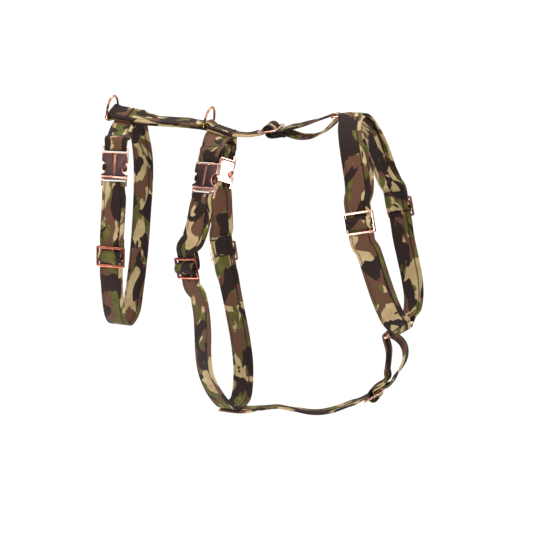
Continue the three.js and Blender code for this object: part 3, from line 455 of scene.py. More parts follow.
def neck_track(slider_at, shift, end):
    upper = slider_at - SLIDER_ZONE

    def to_side(u):
        return shift * np.sin(np.pi * np.minimum(1, 1.2 * u))

    return np.vstack([
        sewn_end(slider_at)[::-1],
        run(upper, 0, bowed(INNER, -RING_FOLD, -0.4), to_side, narrowing)[1:-1],
        fold_round(0, RING_FOLD, -1, -1, GATHERED_WIDTH),
        run(0, upper, bowed(RING_FOLD, OUTER, 0.4), 0, widening)[1:-1],
        over_slider(slider_at),
        run(slider_at + SLIDER_ZONE, end - EASE, OUTER)[1:],
        run(end - EASE, end, spread(OUTER, RING_FOLD), 0, narrowing)[1:-1],
        fold_round(end, RING_FOLD, 1, 1, GATHERED_WIDTH),
        run(end, end - EASE, spread(-RING_FOLD, INNER), 0, widening)[1:],
    ])


def belly_track():
    start, end = BELLY_SLIDER_AT + SLIDER_ZONE, belly_route.length
    return np.vstack([
        run(0, BELLY_SLIDER_AT - SLIDER_ZONE, OUTER)[:-1],
        over_slider(BELLY_SLIDER_AT),
        run(start, end, bowed(OUTER, RING_FOLD, 9, 1.6), 0, narrowing)[1:-1],
        fold_round(end, RING_FOLD, 1, 1, GATHERED_WIDTH),
        run(end, start, bowed(-RING_FOLD, INNER, -4), 0, widening)[1:-1],
        sewn_end(BELLY_SLIDER_AT, -1),
    ])


# ---------------------------------------------------------------- materials


class Value:
    """A socket of a node tree. Arithmetic on it adds Math nodes."""

    def __init__(self, nodes, socket):
        self.nodes = nodes
        self.socket = socket

    def math(self, operation, *others):
        return self.nodes.node("ShaderNodeMath", {"operation": operation}, dict(enumerate((self, *others))))

    def __add__(self, other):
        return self.math("ADD", other)

    __radd__ = __add__

    def __sub__(self, other):
        return self.math("SUBTRACT", other)

    def __rsub__(self, other):
        return (self * -1) + other

    def __mul__(self, other):
        return self.math("MULTIPLY", other)

    __rmul__ = __mul__

    def sine(self):
        return self.math("SINE")

    def between(self, low, high):
        """0 below low and 1 above high, with a smooth step between."""
        settings = {"interpolation_type": "SMOOTHSTEP"}
        inputs = {"Value": self, "From Min": low, "From Max": high}
        return self.nodes.node("ShaderNodeMapRange", settings, inputs)

    def near(self, middle, half):
        """1 at middle, falling to 0 at half a width each way."""
        return 1 - (self - middle).math("ABSOLUTE").between(half * 0.5, half)


class Nodes:
    """A node tree, and short ways to add to it."""

    def __init__(self, owner):
        owner.use_nodes = True
        self.tree = owner.node_tree

    def connect(self, socket, value):
        if isinstance(value, Value):
            self.tree.links.new(value.socket, socket)
        else:
            socket.default_value = value

    def node(self, kind, settings=None, inputs=None, out=0):
        made = self.tree.nodes.new(kind)
        for name, value in (settings or {}).items():
            setattr(made, name, value)
        for name, value in (inputs or {}).items():
            self.connect(made.inputs[name], value)
        return Value(self, made.outputs[out])

    def split(self, vector):
        made = self.tree.nodes.new("ShaderNodeSeparateXYZ")
        self.connect(made.inputs[0], vector)
        return tuple(Value(self, socket) for socket in made.outputs)

    def mix(self, factor, first, second):
        inputs = {"Factor": factor, 6: first, 7: second}
        return self.node("ShaderNodeMix", {"data_type": "RGBA"}, inputs, 2)


class Finish(Nodes):
    """A material: its nodes, and the shader that they feed."""

    def __init__(self, name, **shader):
        self.material = bpy.data.materials.new(name)
        super().__init__(self.material)
        self.shader = self.tree.nodes["Principled BSDF"]
        self.feed(**shader)

    def feed(self, **inputs):
        for name, value in inputs.items():
            self.connect(self.shader.inputs[name.replace("_", " ")], value)
        return self

    def uv(self, name):
        """The two coordinates of a UV map, and the map itself."""
        flat = self.node("ShaderNodeUVMap", {"uv_map": name})
        return self.split(flat)[:2] + (flat,)

    def place(self):
        return self.node("ShaderNodeTexCoord", out="Object")

    def noise(self, at, scale, detail=2.0, roughness=0.5, distortion=0.0, shift=(0, 0, 0)):
        moved = self.node("ShaderNodeVectorMath", {"operation": "ADD"}, {0: at, 1: shift})
        inputs = {"Vector": moved, "Scale": scale, "Detail": detail, "Roughness": roughness}
        inputs["Distortion"] = distortion
        return self.node("ShaderNodeTexNoise", None, inputs)

    def tinted(self, colour, amount):
        """A colour times a number."""
        grey = self.node("ShaderNodeCombineXYZ", None, {0: amount, 1: amount, 2: amount})
        plain = colour if isinstance(colour, Value) else colour[:3]
        return self.node("ShaderNodeVectorMath", {"operation": "MULTIPLY"}, {0: plain, 1: grey})

    def bump(self, height, distance, strength=1.0):
        inputs = {"Height": height, "Distance": distance, "Strength": strength}
        return self.feed(Normal=self.node("ShaderNodeBump", None, inputs))


def rgb(red, green, blue):
    """Linear colour of a screen colour given from 0 to 255."""
    levels = np.array([red, green, blue]) / 255
    return (*np.where(levels <= 0.04045, levels / 12.92, ((levels + 0.055) / 1.055) ** 2.4), 1.0)


SAND = rgb(196, 168, 122)
PALE_SAND = rgb(212, 186, 140)
GREEN = rgb(90, 88, 42)
MOSS = rgb(112, 110, 58)
BROWN = rgb(112, 78, 60)
DARK = rgb(53, 40, 37)

SEAM_AT = 7.6
HEM_AT = -9.6


def camouflage():
    """Woodland print on plain-woven cotton: green, brown and near-black patches on sand, each lying where
    its own warped noise is high, with painted shade in the dents of the seams, and the threads of the weave."""
    f = Finish("camouflage_cloth", Sheen_Weight=0.05, Sheen_Roughness=0.5, Specular_IOR_Level=0.08)
    cloth = f.uv("print")[2]
    stretched = f.node("ShaderNodeVectorMath", {"operation": "MULTIPLY"}, {0: cloth, 1: (1.2, 0.72, 1.0)})
    colour = f.mix(f.noise(cloth, 60, 3).between(0.35, 0.65), SAND, PALE_SAND)
    leaf = f.mix(f.noise(cloth, 90, 3, shift=(3, 1, 0)).between(0.3, 0.7), GREEN, MOSS)
    layers = (
        (leaf, 36, (1.3, 7.1, 0), 0.503),
        (BROWN, 36, (5.7, 2.9, 0), 0.516),
        (DARK, 36, (8.2, 4.4, 0), 0.523),
    )
    for shade, scale, shift, level in layers:
        patch = f.noise(stretched, scale, 2.0, 0.45, 0.8, shift)
        colour = f.mix(patch.between(level - 0.008, level + 0.008), colour, shade)
    side, along, _ = f.uv("strap")
    thread = 2 * math.pi / 0.00062
    weave = (side * thread).sine() * (along * thread).sine()
    slub = f.noise(cloth, 900, 2)
    worn = f.noise(cloth, 640, 1, shift=(1, 9, 0))
    # Painted shade: the cloth colour is darkened along both seams, where their dents fall into shade.
    seam = side.near(SEAM_AT * MM, 0.0009).math("MAXIMUM", side.near(HEM_AT * MM, 0.0006) * 0.6)
    shade = (1 + (weave * 0.05) + ((slub - 0.5) * 0.4) + ((worn - 0.5) * 0.5)) * (1 - seam * 0.85)
    f.feed(Base_Color=f.tinted(colour, shade), Roughness=(slub - 0.5) * 0.2 + 0.88)
    f.bump(weave * 0.5 + slub, 0.00012, 0.7)
    return f.material


def thread(name, colour):
    """Sewing thread: fine twist along it, and a little sheen."""
    f = Finish(name, Sheen_Weight=0.3, Specular_IOR_Level=0.3)
    grain = f.noise(f.place(), 2600, 2)
    f.feed(Base_Color=f.tinted(colour, grain * 0.7 + 0.65), Roughness=(grain * 0.3) + 0.6)
    f.bump(grain, 0.00008)
    return f.material


def plated(name, colour, deep, roughness, scratches=0.1):
    """Rose-gold plate on cast metal: a polish that varies a little, fine scratches and a slightly redder
    tone in random patches."""
    f = Finish(name, Metallic=1.0, Coat_Weight=0.15, Coat_Roughness=0.05)
    at = f.place()
    cloud = f.noise(at, 160, 3)
    stretched = f.node("ShaderNodeVectorMath", {"operation": "MULTIPLY"}, {0: at, 1: (1, 1, 0.06)})
    scratch = f.noise(stretched, 5200, 2)
    f.feed(Base_Color=f.mix(cloud.between(0.3, 0.75), colour, deep))
    f.feed(Roughness=(cloud - 0.5) * 0.12 + (scratch * scratches) + (roughness - scratches * 0.5))
    f.bump(scratch * 0.4 + cloud, 0.00003, 0.5)
    return f.material


def dark_face():
    """Lacquered dark plate: plum-brown, with painted light that makes it lighter and redder towards the top,
    and a fine brushed grain.
    """
    f = Finish("dark_face", Metallic=0.4, Coat_Weight=0.15, Coat_Roughness=0.3, Specular_IOR_Level=0.3)
    at = f.place()
    height = f.split(at)[2]
    stretched = f.node("ShaderNodeVectorMath", {"operation": "MULTIPLY"}, {0: at, 1: (1, 1, 0.05)})
    grain = f.noise(stretched, 4200, 2)
    cloud = f.noise(at, 70, 2)
    # Painted light: the plate turns lighter and redder towards the top, by its height in the scene.
    upper = (height + (cloud - 0.5) * 0.02).between(-0.052, -0.034)
    colour = f.mix(upper, rgb(50, 36, 40), rgb(92, 60, 58))
    f.feed(Base_Color=f.tinted(colour, grain * 0.6 + 0.7))
    f.feed(Roughness=(grain * 0.15) + 0.34)
    f.bump(grain, 0.00003, 0.6)
    return f.material


CLOTH = camouflage()
SEAM_THREAD = thread("seam_thread", rgb(62, 52, 40))
TACK_THREAD = thread("tack_thread", rgb(24, 22, 21))
ROSE_GOLD = plated("rose_gold", rgb(236, 188, 170), rgb(214, 152, 130), 0.14)
# Painted shade: a darker, redder copy of the rose-gold plate, standing for the dark reflections on the
# D-rings.
RING_SHADE_GOLD = plated("ring_shade_gold", rgb(218, 146, 116), rgb(184, 104, 74), 0.12)
# Painted shade: a darker copy of the rose-gold plate, for the sliders that face dark surroundings.
SHADED_PLATE = plated("shaded_plate", rgb(168, 98, 76), rgb(120, 60, 44), 0.22, 0.14)
# Painted shade: a dark-brown copy of the rose-gold plate for the buckle arms, seen in the shade of the
# housing's cut-outs.
ARM_SHADE_PLATE = plated("arm_shade_plate", rgb(108, 60, 46), rgb(78, 42, 32), 0.24, 0.14)
BAND = plated("band_gold", rgb(188, 132, 114), rgb(170, 112, 94), 0.34, 0.16)
FACE = dark_face()

# ---------------------------------------------------------------- making meshes


def add_piece(name, points, faces, material, body=ROOT, smooth_angle=40):
    """A mesh object from points in millimetres and lists of corner numbers, in place and riding on its
    body."""
    mesh = bpy.data.meshes.new(name)
    mesh.from_pydata((np.asarray(points) * MM).tolist(), [], [list(map(int, f)) for f in faces])
    mesh.materials.append(material)
    mesh.polygons.foreach_set("use_smooth", np.ones(len(mesh.polygons), bool))
    if smooth_angle:
        mesh.set_sharp_from_angle(angle=math.radians(smooth_angle))
    piece = bpy.data.objects.new(name, mesh)
    bpy.context.scene.collection.objects.link(piece)
    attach(piece, body)
    return piece


def grid_faces(rows, columns, wrap_rows=False):
    """Four-cornered faces of a grid whose columns close on themselves, and whose rows may."""
    i, j = np.meshgrid(np.arange(rows if wrap_rows else rows - 1), np.arange(columns), indexing="ij")
    below, right = (i + 1) % rows, (j + 1) % columns
    corners = [i * columns + j, i * columns + right, below * columns + right, below * columns + j]
    return np.stack(corners, axis=-1).reshape(-1, 4)


def oval(half_x, half_y, count, power=2.0):
    """Points of a rounded section: |x/a|^n + |y/b|^n = 1."""
    angle = 2 * np.pi * (np.arange(count) + 0.5) / count
    c, s = np.cos(angle), np.sin(angle)
    sharp = 2 / power
    x = half_x * np.sign(c) * np.abs(c) ** sharp
    y = half_y * np.sign(s) * np.abs(s) ** sharp
    return np.column_stack([x, y])


def carried_round(path, section):
    """A section carried round a closed flat path: each path point moves by the section's x along the
    path's outward normal, and by its y out of the plane."""
    t = unit(np.roll(path, -1, axis=0) - np.roll(path, 1, axis=0))
    out = np.column_stack([t[:, 1], -t[:, 0]])
    flat = path[:, None, :] + out[:, None, :] * section[None, :, 0, None]
    height = np.broadcast_to(section[None, :, 1, None], (*flat.shape[:2], 1))
    points = np.concatenate([flat, height], axis=2).reshape(-1, 3)
    return points, grid_faces(len(path), len(section), wrap_rows=True)


def bar(length, section):
    """A straight bar along x, with its section in y and z, and flat ends."""
    x = np.array([-length / 2, length / 2])
    points = np.array([[a, y, z] for a in x for y, z in section])
    count = len(section)
    ends = [list(range(count))[::-1], list(range(count, 2 * count))]
    return points, [*grid_faces(2, count).tolist(), *ends]


def joined(*parts):
    points, faces, start = [], [], 0
    for some, corners in parts:
        points.append(np.asarray(some))
        faces += [[int(c) + start for c in face] for face in corners]
        start += len(some)
    return np.vstack(points), faces


def placed(points, where):
    origin, axes = where
    return origin + np.asarray(points) @ axes


def turned(where, degrees):
    """The same place with its y and z axes turned about its x axis."""
    origin, axes = where
    c, s = math.cos(math.radians(degrees)), math.sin(math.radians(degrees))
    return origin, np.array([axes[0], axes[1] * c + axes[2] * s, axes[2] * c - axes[1] * s])


# ---------------------------------------------------------------- webbing

SIDE_MARKS = np.array([
    -11.8, -11.2, -10.4, -10.0, -9.8, -9.6, -9.4, -9.2, -8.6, -6.5, -4, -1.5, 1, 3.5, 5.6, 6.8, 7.25, 7.45,
    7.6, 7.62, 7.85, 8.3, 9.6, 10.8, 11.8,
])
EDGE_STEPS = 4


def section_of_strap(seam_side):
    """The cut across a strap, as x, z and the distance round the cloth from its lap: two slightly crowned
    faces with the dents of two seams, joined by half-round edges. The cloth is lapped at the seam, so its
    print starts anew there and runs round the lap, the inner face and back. seam_side is 1 or -1, the
    edge the lap is near."""
    half, rise = WEB_WIDTH / 2, WEB_THICK / 2
    x = SIDE_MARKS
    dent = 0.26 * np.exp(-(((x - SEAM_AT) / 0.3) ** 2)) + 0.2 * np.exp(-(((x - HEM_AT) / 0.28) ** 2))
    crown = rise + 0.1 * (1 - (x / half) ** 2) - dent
    outer = crown + np.where(x > SEAM_AT + 0.01, 0.16, 0)
    angle = np.linspace(90, -90, EDGE_STEPS + 2)[1:-1]
    edge_x = x[-1] + (half - x[-1]) * np.cos(np.radians(angle))
    edge_z = rise * np.sin(np.radians(angle))
    side = np.concatenate([x, edge_x, x[::-1], -edge_x])
    height = np.concatenate([outer, edge_z, -crown[::-1], edge_z[::-1]])
    steps = np.hypot(np.diff(side, append=side[0]), np.diff(height, append=height[0]))
    around = np.concatenate([[0], np.cumsum(steps)])
    cloth = (around[:-1] - around[len(x) - 6]) % around[-1]
    if seam_side < 0:
        side, height, cloth = -side[::-1], height[::-1], cloth[::-1]
    return side, height, cloth, around[-1]


def strap_frames(route, track, step=1.4):
    """Evenly spaced places along a track, as centre, direction, across, outwards, width, distance and
    track row: the track is smoothed by a Catmull-Rom curve through its rows, then laid on its route."""
    fine = catmull(track, np.linspace(0, 1, (len(track) - 1) * 8 + 1))

    def lay(rows):
        p, t, w, n = route.at(rows[:, 0])
        return p + n * rows[:, 1:2] + w * rows[:, 2:3], w

    steps = np.linalg.norm(np.diff(lay(fine)[0], axis=0), axis=1)
    reach = np.concatenate([[0], np.cumsum(steps)])
    s = np.linspace(0, reach[-1], int(reach[-1] / step) + 1)
    even = np.column_stack([np.interp(s, reach, fine[:, k]) for k in range(4)])
    centre, w = lay(even)
    t = unit(np.gradient(centre, axis=0))
    w = unit(w - t * dot(w, t))
    return centre, t, w, np.cross(t, w), even[:, 3], s, even


def ripple(s, x, seed, seam_side):
    """Small waves of the cloth: a slow one over the whole strap, and puckers beside the seams."""
    slow = np.sin(s * 0.21 + x * 0.17 + seed) * np.sin(s * 0.083 - x * 0.11 + 2 * seed)
    near, far = seam_side * SEAM_AT, seam_side * HEM_AT
    pucker = np.exp(-(((x - near) / 1.6) ** 2)) + np.exp(-(((x - far) / 1.4) ** 2))
    return 0.11 * slow + 0.07 * pucker * np.sin(s * 2 * np.pi / STITCH)


STITCH = 3.2
SQUEEZE = 0.2


def add_strap(name, route, track, seed, seam_side=1):
    """The cloth-covered webbing, with its two UV maps: strap, in metres across and along it, and print,
    which follows the cloth from its lap round the webbing."""
    centre, _, w, n, width, s, rows = strap_frames(route, track)
    pressed = route.pressed(rows[:, 0])
    side, height, cloth, around = section_of_strap(seam_side)
    count = len(side)
    scale = (width / WEB_WIDTH)[:, None]
    wave = ripple(s[:, None], side[None, :], seed, seam_side) * np.sign(height)[None, :]
    wave = wave * (1 - pressed[:, None])
    lift = (height[None, :] + np.where(np.abs(height) > 0.9, wave, 0)) * (1 - SQUEEZE * pressed[:, None])
    points = centre[:, None, :] + w[:, None, :] * (side * scale)[..., None] + n[:, None, :] * lift[..., None]
    faces = grid_faces(len(s), count)
    ends = [list(range(count))[::-1], list(range(len(s) * count - count, len(s) * count))]
    corners = [*faces.tolist(), *ends]
    piece = add_piece(name + "_cloth", points.reshape(-1, 3), corners, CLOTH, ROOT, 0)
    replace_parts(piece, name)

    i, j = np.divmod(faces[:, 0], count)
    columns = np.column_stack([j, (j + 1) % count, (j + 1) % count, j])
    rows = np.column_stack([i, i, i + 1, i + 1])
    print_x = cloth[columns]
    over_lap = np.ptp(print_x, axis=1, keepdims=True) > around / 2
    print_x = np.where(over_lap & (print_x < around / 2), print_x + around, print_x)
    capped = sum(len(end) for end in ends)
    layers = (
        ("print", print_x + seed * 83, s[rows] + seed * 37),
        ("strap", seam_side * side[columns], s[rows]),
    )
    for label, u, v in layers:
        flat = np.stack([u, v], axis=-1).reshape(-1, 2) * MM
        cap = np.repeat(flat[:1], capped, axis=0)
        piece.data.uv_layers.new(name=label).data.foreach_set("uv", np.vstack([flat, cap]).ravel())
    add_stitches(name, centre, w * seam_side, n, scale[:, 0], s, pressed)


def add_stitches(name, centre, w, n, scale, s, pressed):
    """Lockstitches along both seams, on both faces: short threads that dip into the cloth at their
    ends."""
    share = np.linspace(-1, 1, 5)
    turn = 2 * np.pi * np.arange(5) / 5
    radius = 0.2 * np.sqrt(1 - (share * 0.93) ** 4)
    middles = np.arange(2, s[-1] - 2, STITCH)
    groups = []
    for seam, depth in ((SEAM_AT, 0.86), (HEM_AT, 0.9)):
        for face in (1, -1):
            along = middles[:, None] + share[None, :] * 1.2
            c, ww, nn = (
                np.stack([np.interp(along, s, v[:, k]) for k in range(3)], axis=-1)
                for v in (centre, w, n)
            )
            tight = np.interp(along, s, scale)[..., None]
            rise = (depth + 0.16 * np.cos(share * np.pi / 2))[None, :]
            high = face * (rise * (1 - SQUEEZE * np.interp(along, s, pressed)))[..., None]
            line = c + ww * seam * tight + nn * high
            cosine, sine = np.cos(turn)[None, None, :, None], np.sin(turn)[None, None, :, None]
            ring = ww[:, :, None, :] * cosine + nn[:, :, None, :] * sine
            groups.append((line[:, :, None, :] + ring * radius[None, :, None, None]).reshape(-1, 3))
    points = np.vstack(groups)
    one = grid_faces(5, 5)
    total = len(points) // 25
    faces = (one[None] + 25 * np.arange(total)[:, None, None]).reshape(-1, 4)
    caps = np.array([[4, 3, 2, 1, 0], [20, 21, 22, 23, 24]])
    ends = (caps[None] + 25 * np.arange(total)[:, None, None]).reshape(-1, 5)
    add_piece(name + "_stitches", points, [*faces.tolist(), *ends.tolist()], SEAM_THREAD, ROOT, 0)


STRAPS = {
    "back_strap": (back_route, back_track(), 1.0, -1),
    "rear_tab": (rear_route, tab_track(REAR_BUCKLE_AT), 2.0),
    "rear_girth_strap": (rear_route, girth_track(REAR_BUCKLE_AT, REAR_SLIDER_AT, rear_route.length), 3.0),
    "front_tab_near": (near_route, tab_track(FRONT_BUCKLES_AT), 4.0),
    "front_tab_far": (far_route, tab_track(FRONT_BUCKLES_AT), 5.0, -1),
    "front_girth_near": (near_route, girth_track(FRONT_BUCKLES_AT, NEAR_SLIDER_AT, near_route.length), 6.0),
    "front_girth_far": (far_route, girth_track(FRONT_BUCKLES_AT, FAR_SLIDER_AT, far_route.length), 7.0, -1),
    "belly_strap": (belly_route, belly_track(), 8.0),
    "neck_strap_near": (neck_near_route, neck_track(NECK_NEAR_SLIDER_AT, 5, neck_near_route.length), 9.0),
    "neck_strap_far": (neck_far_route, neck_track(NECK_FAR_SLIDER_AT, 6, neck_far_route.length), 10.0, -1),
}
for name, strap in STRAPS.items():
    add_strap(name, *strap)

TACK_HALF = 11.4


def add_tack(name, strap, s, lift):
    """A bar tack across a strap: a low ridge of tight zigzag thread, rippled once for each pass of the
    needle. It lies on the strap's outward face where lift is above the route, and on its inward face
    where below."""
    centre, t, w, n, width, _, rows = strap_frames(*STRAPS[strap][:2])
    i = np.argmin(np.abs(rows[:, 0] - s) + 3 * np.abs(rows[:, 1] - lift))
    upwards = np.sign(dot(n[i], STRAPS[strap][0].frame(s)[1][2])[0]) * np.sign(lift)
    where = centre[i] + n[i] * upwards * (WEB_THICK / 2 + 0.35), np.array([w[i], t[i], n[i]])
    x = np.linspace(-TACK_HALF, TACK_HALF, 170) * width[i] / WEB_WIDTH
    angle = 2 * np.pi * np.arange(10) / 10
    swell = 0.8 + 0.2 * np.cos(2 * np.pi * x / 0.55)
    ends = np.sqrt(np.clip(1 - (np.abs(x) / x[-1]) ** 30, 0.02, 1))
    y = 0.95 * np.cos(angle)[None, :] * (swell * ends)[:, None] + 0.12 * np.sin(2 * np.pi * x / 0.55)[:, None]
    z = 0.55 * np.sin(angle)[None, :] * (swell * ends)[:, None]
    points = np.stack([np.broadcast_to(x[:, None], y.shape), y, z], axis=-1).reshape(-1, 3)
    count = len(angle)
    caps = [list(range(count))[::-1], list(range(len(points) - count, len(points)))]
    faces = [*grid_faces(len(x), count).tolist(), *caps]
    add_piece(name, placed(points, where), faces, TACK_THREAD)


TAIL_LIFT = INNER - PITCH
SEWN_BACK = 15
TACKS = (
    ("back_tack_rear", "back_strap", 24, OUTER),
    ("back_tack_middle", "back_strap", FRONT_RING_AT + 8, OUTER),
    ("back_tack_front", "back_strap", FRONT_RING_AT + 27, OUTER),
    ("rear_tab_tack", "rear_tab", 41, OUTER),
    ("front_tab_near_tack", "front_tab_near", 40, OUTER),
    ("front_tab_far_tack", "front_tab_far", 38, OUTER),
    ("rear_sewn_tack", "rear_girth_strap", REAR_SLIDER_AT - SEWN_BACK, TAIL_LIFT),
    ("front_near_sewn_tack", "front_girth_near", NEAR_SLIDER_AT - SEWN_BACK, TAIL_LIFT),
    ("front_far_sewn_tack", "front_girth_far", FAR_SLIDER_AT - SEWN_BACK, TAIL_LIFT),
    ("neck_near_sewn_tack", "neck_strap_near", NECK_NEAR_SLIDER_AT - SEWN_BACK, TAIL_LIFT),
    ("neck_far_sewn_tack", "neck_strap_far", NECK_FAR_SLIDER_AT - SEWN_BACK, TAIL_LIFT),
    ("back_sewn_tack", "back_strap", BACK_SLIDER_AT + SEWN_BACK, TAIL_LIFT),
    ("belly_sewn_tack", "belly_strap", BELLY_SLIDER_AT + SEWN_BACK, TAIL_LIFT),
    ("neck_near_ring_tack", "neck_strap_near", neck_near_route.length - 12, RING_FOLD),
    ("neck_far_ring_tack", "neck_strap_far", neck_far_route.length - 12, RING_FOLD),
)
for tack in TACKS:
    add_tack(*tack)

# ---------------------------------------------------------------- rings and sliders


def corner_points(x, y, radius, first, last, count=8):
    angle = np.radians(np.linspace(first, last, count))
    return np.column_stack([x + radius * np.cos(angle), y + radius * np.sin(angle)])


def add_d_ring(name, where):
    """A round wire bent to a D: a straight bar, two tight corners and a half-oval bow."""
    half = SLOT / 2 + D_WIRE / 2
    angle = np.radians(np.linspace(0, 180, 73)[1:-1])
    bow = np.column_stack([half * np.cos(angle), D_CORNER + (D_HEIGHT - D_CORNER) * np.sin(angle)])
    path = np.vstack([
        corner_points(half - D_CORNER, D_CORNER, D_CORNER, -90, 0),
        bow,
        corner_points(-half + D_CORNER, D_CORNER, D_CORNER, 180, 270),
    ])
    points, faces = carried_round(path, oval(D_WIRE / 2, D_WIRE / 2, 20))
    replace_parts(add_piece(name + "_wire", placed(points, where), faces, RING_SHADE_GOLD, name), name)


def add_junction_ring(name, where):
    """A round wire bent to three equal sides with round corners."""
    path = []
    for heading in (0, 120, 240):
        reach = 2 * (RING_REACH - RING_CORNER)
        x, y = reach * math.cos(math.radians(heading)), reach * math.sin(math.radians(heading))
        path.append(corner_points(x, y, RING_CORNER, heading - 60, heading + 60, 12))
    points, faces = carried_round(np.vstack(path), oval(RING_WIRE / 2, RING_WIRE / 2, 20))
    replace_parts(add_piece(name + "_wire", placed(points, where), faces, ROSE_GOLD), name)


def add_slider(name, where, material):
    """A flat three-bar slider: a square-edged section carried round a rectangle, and a centre bar."""
    corner = 0.7
    x, y = SLOT / 2 + SLIDER_BAR / 2, END_BAR
    path = np.vstack([
        corner_points(side_x * (x - corner), side_y * (y - corner), corner, first, first + 90, 6)
        for side_x, side_y, first in ((1, -1, -90), (1, 1, 0), (-1, 1, 90), (-1, -1, 180))
    ])
    frame_part = carried_round(path, oval(SLIDER_BAR / 2 + 0.15, SLIDER_THICK / 2, 24, 5))
    centre = bar(2 * x, oval(SLIDER_BAR / 2, SLIDER_THICK / 2, 24, 4))
    points, faces = joined(frame_part, centre)
    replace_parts(add_piece(name + "_frame", placed(points, where), faces, material, name), name)


STAND_UP = 90
add_d_ring("rear_d_ring", turned(back_route.frame(REAR_RING_AT), STAND_UP + D_LEAN))
add_d_ring("front_d_ring", turned(back_route.frame(FRONT_RING_AT, FRONT_RING_LIFT), STAND_UP))
add_junction_ring("withers_ring", (WITHERS, np.eye(3)))
add_junction_ring("chest_ring", (CHEST, np.array([CHEST_AXIS, [0, 1, 0], np.cross(CHEST_AXIS, [0, 1, 0])])))
add_slider("back_slider", back_route.frame(BACK_SLIDER_AT, SLIDER_LIFT), ROSE_GOLD)
# The rear and near front sliders take the darker copy of the plate: painted shade.
add_slider("rear_slider", rear_route.frame(REAR_SLIDER_AT, SLIDER_LIFT), SHADED_PLATE)
add_slider("front_slider_near", near_route.frame(NEAR_SLIDER_AT, SLIDER_LIFT), SHADED_PLATE)
add_slider("front_slider_far", far_route.frame(FAR_SLIDER_AT, SLIDER_LIFT), ROSE_GOLD)
add_slider("neck_slider_near", neck_near_route.frame(NECK_NEAR_SLIDER_AT, SLIDER_LIFT), ROSE_GOLD)
add_slider("neck_slider_far", neck_far_route.frame(NECK_FAR_SLIDER_AT, SLIDER_LIFT), ROSE_GOLD)
add_slider("belly_slider", belly_route.frame(BELLY_SLIDER_AT, SLIDER_LIFT), ROSE_GOLD)

# ---------------------------------------------------------------- buckles


def add_rounded(node, width, material, body=ROOT):
    """A CAD node's shape with its flat faces joined and its edges rounded."""
    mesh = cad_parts[node].data.copy()
    shape = bmesh.new()
    shape.from_mesh(mesh)
    bmesh.ops.remove_doubles(shape, verts=shape.verts, dist=1e-6)
    bmesh.ops.dissolve_limit(shape, angle_limit=math.radians(1), verts=shape.verts, edges=shape.edges)
    shape.to_mesh(mesh)
    shape.free()
    mesh.materials.clear()
    mesh.materials.append(material)
    mesh.polygons.foreach_set("use_smooth", np.ones(len(mesh.polygons), bool))
    piece = bpy.data.objects.new(node + "_rounded", mesh)
    bpy.context.scene.collection.objects.link(piece)
    rounding = piece.modifiers.new("edges", "BEVEL")
    rounding.width = width * MM
    rounding.segments = 3
    rounding.limit_method = "ANGLE"
    rounding.angle_limit = math.radians(35)
    rounding.harden_normals = True
    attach(piece, body)
    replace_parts(piece, node)
    return piece


def add_buckle(name, where):
    add_rounded(name + "_housing", 0.45, ROSE_GOLD)
    add_rounded(name + "_plug", 0.4, ROSE_GOLD)
    add_rounded(name + "_faceplate", 0.2, FACE)
    add_rounded(name + "_inlay", 0.15, BAND)
    # The arms take a darker copy of the plate: painted shade in the cut-outs.
    add_rounded(name + "_arm_a", 0.35, ARM_SHADE_PLATE, name + "_arm_a")
    add_rounded(name + "_arm_b", 0.35, ARM_SHADE_PLATE, name + "_arm_b")
    points, faces = bar(2 * BUCKLE_HALF - 1, oval(BROW_HALF, 1.0, 32, 2.4))
    points = points + np.array([0, HOUSING_BODY / 2 - BROW_HALF - 0.1, 3.6])
    add_piece(name + "_brow", placed(points, where), faces, ROSE_GOLD)


BROW_HALF = 0.85
add_buckle("rear_buckle", rear_route.frame(REAR_BUCKLE_AT))
add_buckle("front_buckle_near", near_route.frame(FRONT_BUCKLES_AT))
add_buckle("front_buckle_far", far_route.frame(FRONT_BUCKLES_AT))

# ---------------------------------------------------------------- floor and light


def add_floor():
    """A white disc under the harness, lit evenly so that it runs into the white behind it."""
    mesh = bpy.data.meshes.new("floor")
    angle = 2 * np.pi * np.arange(96) / 96
    rim = np.column_stack([0.8 * np.cos(angle), 0.8 * np.sin(angle), np.full(96, -0.5)])
    mesh.from_pydata(rim.tolist(), [], [list(range(96))])
    f = Finish("pale_floor", Base_Color=(0.9, 0.9, 0.9, 1), Roughness=0.9)
    glow = f.node("ShaderNodeEmission", None, {"Color": (1, 1, 1, 1), "Strength": 1.05})
    seen = f.node("ShaderNodeLightPath", out="Is Camera Ray")
    lit = Value(f, f.shader.outputs[0])
    shown = f.node("ShaderNodeMixShader", None, {0: seen, 1: lit, 2: glow})
    f.connect(f.tree.nodes["Material Output"].inputs[0], shown)
    mesh.materials.append(f.material)
    floor = bpy.data.objects.new("floor", mesh)
    bpy.context.scene.collection.objects.link(floor)


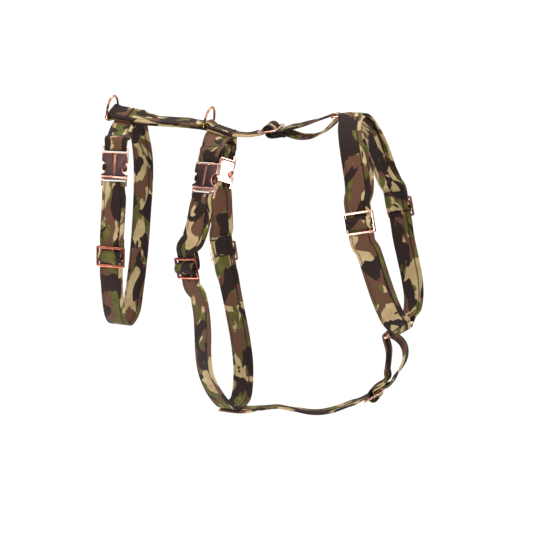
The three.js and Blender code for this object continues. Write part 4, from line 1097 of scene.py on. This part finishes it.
def add_lamp(name, azimuth, elevation, away, size, radiance):
    """A soft box that faces the harness from a compass direction, with a given brightness of its face."""
    lamp = bpy.data.objects.new(name, bpy.data.lights.new(name, "AREA"))
    lamp.data.shape = "RECTANGLE"
    lamp.data.size, lamp.data.size_y = size
    lamp.data.energy = radiance * 4 * size[0] * size[1]
    a, e = math.radians(azimuth), math.radians(elevation)
    out = Vector((math.cos(e) * math.cos(a), math.cos(e) * math.sin(a), math.sin(e)))
    lamp.location = MIDDLE + out * away
    lamp.rotation_euler = out.to_track_quat("Z", "Y").to_euler()
    lamp.visible_camera = False
    bpy.context.scene.collection.objects.link(lamp)
    return lamp


def add_world():
    """White to the camera and even light on the cloth. Polished metal sees a studio: bright above and
    behind, dim low down and in front."""
    world = bpy.data.worlds.new("studio")
    bpy.context.scene.world = world
    nodes = Nodes(world)
    path = nodes.tree.nodes.new("ShaderNodeLightPath")
    camera_ray, glossy_ray = (Value(nodes, path.outputs[name]) for name in ("Is Camera Ray", "Is Glossy Ray"))
    _, y, z = nodes.split(nodes.node("ShaderNodeTexCoord", out="Generated"))
    studio = z.between(0.1, 0.6) * 0.35 + (y.between(-0.1, 0.7) * 0.6) + (z.between(0.5, 0.9) * 0.7) + 0.1
    level = glossy_ray * (studio - EVEN_LIGHT) + EVEN_LIGHT
    level = camera_ray * (1.05 - level) + level
    nodes.connect(nodes.tree.nodes["Background"].inputs["Strength"], level)
    nodes.tree.nodes["Background"].inputs["Color"].default_value = (1, 1, 1, 1)


MIDDLE = Vector((0.05, 0, -0.13))
EVEN_LIGHT = 0.45
add_floor()
add_world()
add_lamp("key", -100, 40, 1.5, (0.9, 0.7), 2.6)
add_lamp("front", -99, -4, 1.3, (0.42, 0.26), 6.5)
low = add_lamp("low", -141, -40, 0.415, (0.26, 0.26), 8.0)
low.visible_diffuse = False
add_lamp("top", 60, 72, 1.2, (1.0, 0.7), 3.6)
add_lamp("right", -10, 20, 1.5, (0.4, 0.9), 3.0)
bpy.context.scene.view_settings.view_transform = "Standard"
